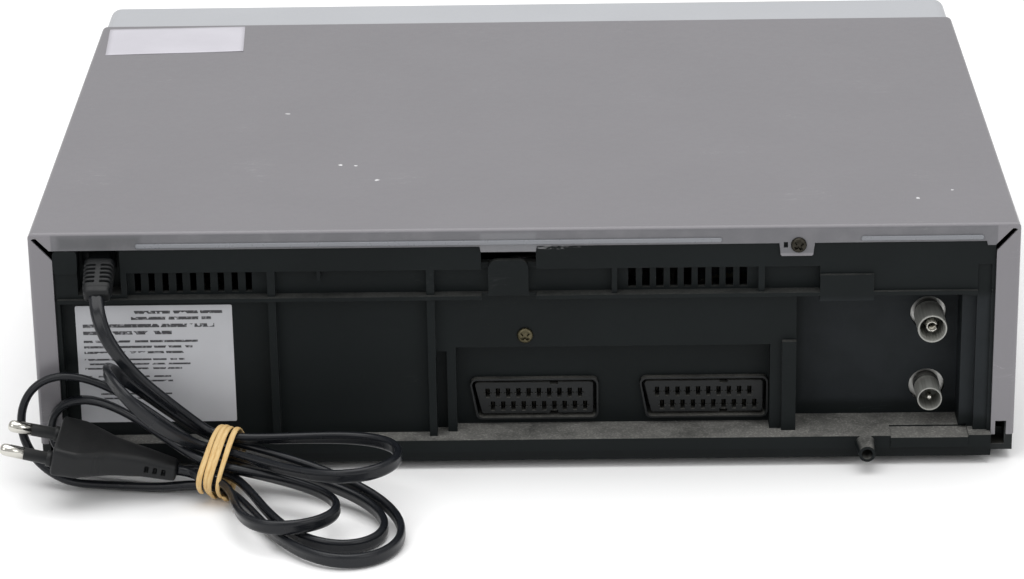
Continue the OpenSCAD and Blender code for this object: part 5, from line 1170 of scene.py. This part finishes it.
class Symbol(Enum):
    """Plain signs on the keys: polygons in units of the sign's half height."""

    PLAY = (((-0.7, -1), (-0.7, 1), (1, 0)),)
    FORWARD = (((-1.2, -0.9), (-1.2, 0.9), (0, 0)), ((0, -0.9), (0, 0.9), (1.2, 0)))
    REWIND = (((1.2, 0.9), (1.2, -0.9), (0, 0)), ((0, 0.9), (0, -0.9), (-1.2, 0)))
    PAUSE = (((-0.8, -1), (-0.8, 1), (-0.25, 1), (-0.25, -1)), ((0.25, -1), (0.25, 1), (0.8, 1), (0.8, -1)))
    EJECT = (((-1, -0.1), (0, 1), (1, -0.1)), ((-1, -0.9), (-1, -0.45), (1, -0.45), (1, -0.9)))
    UP = (((-1, -0.6), (0, 0.8), (1, -0.6)),)
    DOWN = (((1, 0.6), (0, -0.8), (-1, 0.6)),)
    POWER = (((-0.15, -0.2), (-0.15, 1), (0.15, 1), (0.15, -0.2)),)


@dataclass
class FrontPanel:
    """Front panel with the cassette door, the display and the keys."""

    face_y: float = -0.141
    sign_half: float = 2.6
    figure_y: float = -0.13318
    figure_z: float = 38.0
    figure_x: tuple = (-26, -10, 10, 26)
    figure_scale: float = 0.62
    # Middle X, middle Z, half width and half height of the bars of a figure, and of the colon's dots
    bars: tuple = ((0, 9, 4, 0.6), (0, 0, 4, 0.6), (0, -9, 4, 0.6), (-4.6, 4.5, 0.6, 3.6), (4.6, 4.5, 0.6, 3.6),
                   (-4.6, -4.5, 0.6, 3.6), (4.6, -4.5, 0.6, 3.6))
    colon: tuple = ((0, 2.4, 0.5, 0.5), (0, -2.4, 0.5, 0.5))
    keys: tuple = (("power", -158, 74, Symbol.POWER), ("eject", -124, 70, Symbol.EJECT),
                   ("channel_up", -158, 46, Symbol.UP), ("channel_down", -158, 34, Symbol.DOWN),
                   ("rewind", 117, 62, Symbol.REWIND), ("play", 141, 62, Symbol.PLAY),
                   ("forward", 164.5, 62, Symbol.FORWARD), ("pause", 141, 42, Symbol.PAUSE),
                   ("record", 117, 42, None))

    def sign(self, key: str, x: float, z: float, symbol: Symbol) -> Obj:
        """A printed sign on a key, standing 0.05 mm out of its face."""
        place = (x * MM, self.face_y + 0.02 * MM, z * MM)
        parts = [slab(self.sign_half * MM * np.array(poly[::-1]), place, *TO_FRONT, 0.07 * MM) for poly in symbol.value]
        return joined(key + "_sign", parts, smooth=False)

    def digits(self) -> Obj:
        """Unlit seven-bar figures and a colon on the display tube, four figures wide."""
        figures = self.figure_scale * np.array([(x0 + x, *bar) for x0 in self.figure_x for x, *bar in self.bars])
        corners = np.array([(-1, -1), (1, -1), (1, 1), (-1, 1)])
        place = (0, self.figure_y, self.figure_z * MM)
        parts = [slab(MM * (np.array([x, z]) + corners * (w, h)), place, *TO_FRONT, 0.1 * MM)
                 for x, z, w, h in (*figures, *self.colon)]
        return joined("display_figures", parts, smooth=False)

    def build(self, m: Materials, fx: Effects) -> None:
        """Dresses the front."""
        paint(m["panel"], "front_panel")
        paint(SmokedGlass().material(fx), "display_window")
        paint(m["tube_glass"], "display_tube")
        paint(m["power_board"], "front_board")
        paint(m["dark"], "cassette_door")
        dressed(self.digits(), "root", "display_glass", m["segments"])
        for key, x, z, symbol in self.keys:
            paint(m["record" if key == "record" else "keys"], key + "_button")
            if symbol:
                dressed(self.sign(key, x, z, symbol), key + "_key", "key_plastic", m["print"])


@dataclass
class Inside:
    """Tape deck, carriage and electronics."""

    # Finish, and the nodes that have it
    nodes: tuple = (("steel", "deck_plate idler_arm pinch_arm tension_arm carriage_brackets cassette_holder"),
                    ("aluminium", "lower_drum upper_drum capstan_flywheel"), ("brass", "capstan_bearing"),
                    ("dark", "clutch_pulley supply_reel takeup_reel loading_motor carriage_slides"),
                    ("belt", "drive_belt pinch_roller"), ("cream", "idler_gear cam_gear"),
                    ("nickel", "supply_guide takeup_guide erase_head audio_head"), ("board", "main_board"),
                    ("power_board", "power_board"), ("laminations", "transformer"), ("sleeve", "power_capacitors"))

    def build(self, m: Materials) -> None:
        """Dresses the nodes inside the casing."""
        for key, names in self.nodes:
            paint(m[key], *names.split())


def main() -> None:
    """Builds the scene piece by piece."""
    logging.basicConfig(level=logging.INFO, format="%(name)s: %(message)s")
    fx = Effects()
    Studio().build()
    m = Finishes().built(fx)
    MainsLead().build(m)
    Casing().build(m, fx)
    RearSockets().build(m)
    FrontPanel().build(m, fx)
    Inside().build(m)
    bpy.context.view_layer.update()


if __name__ == "__main__":
    main()
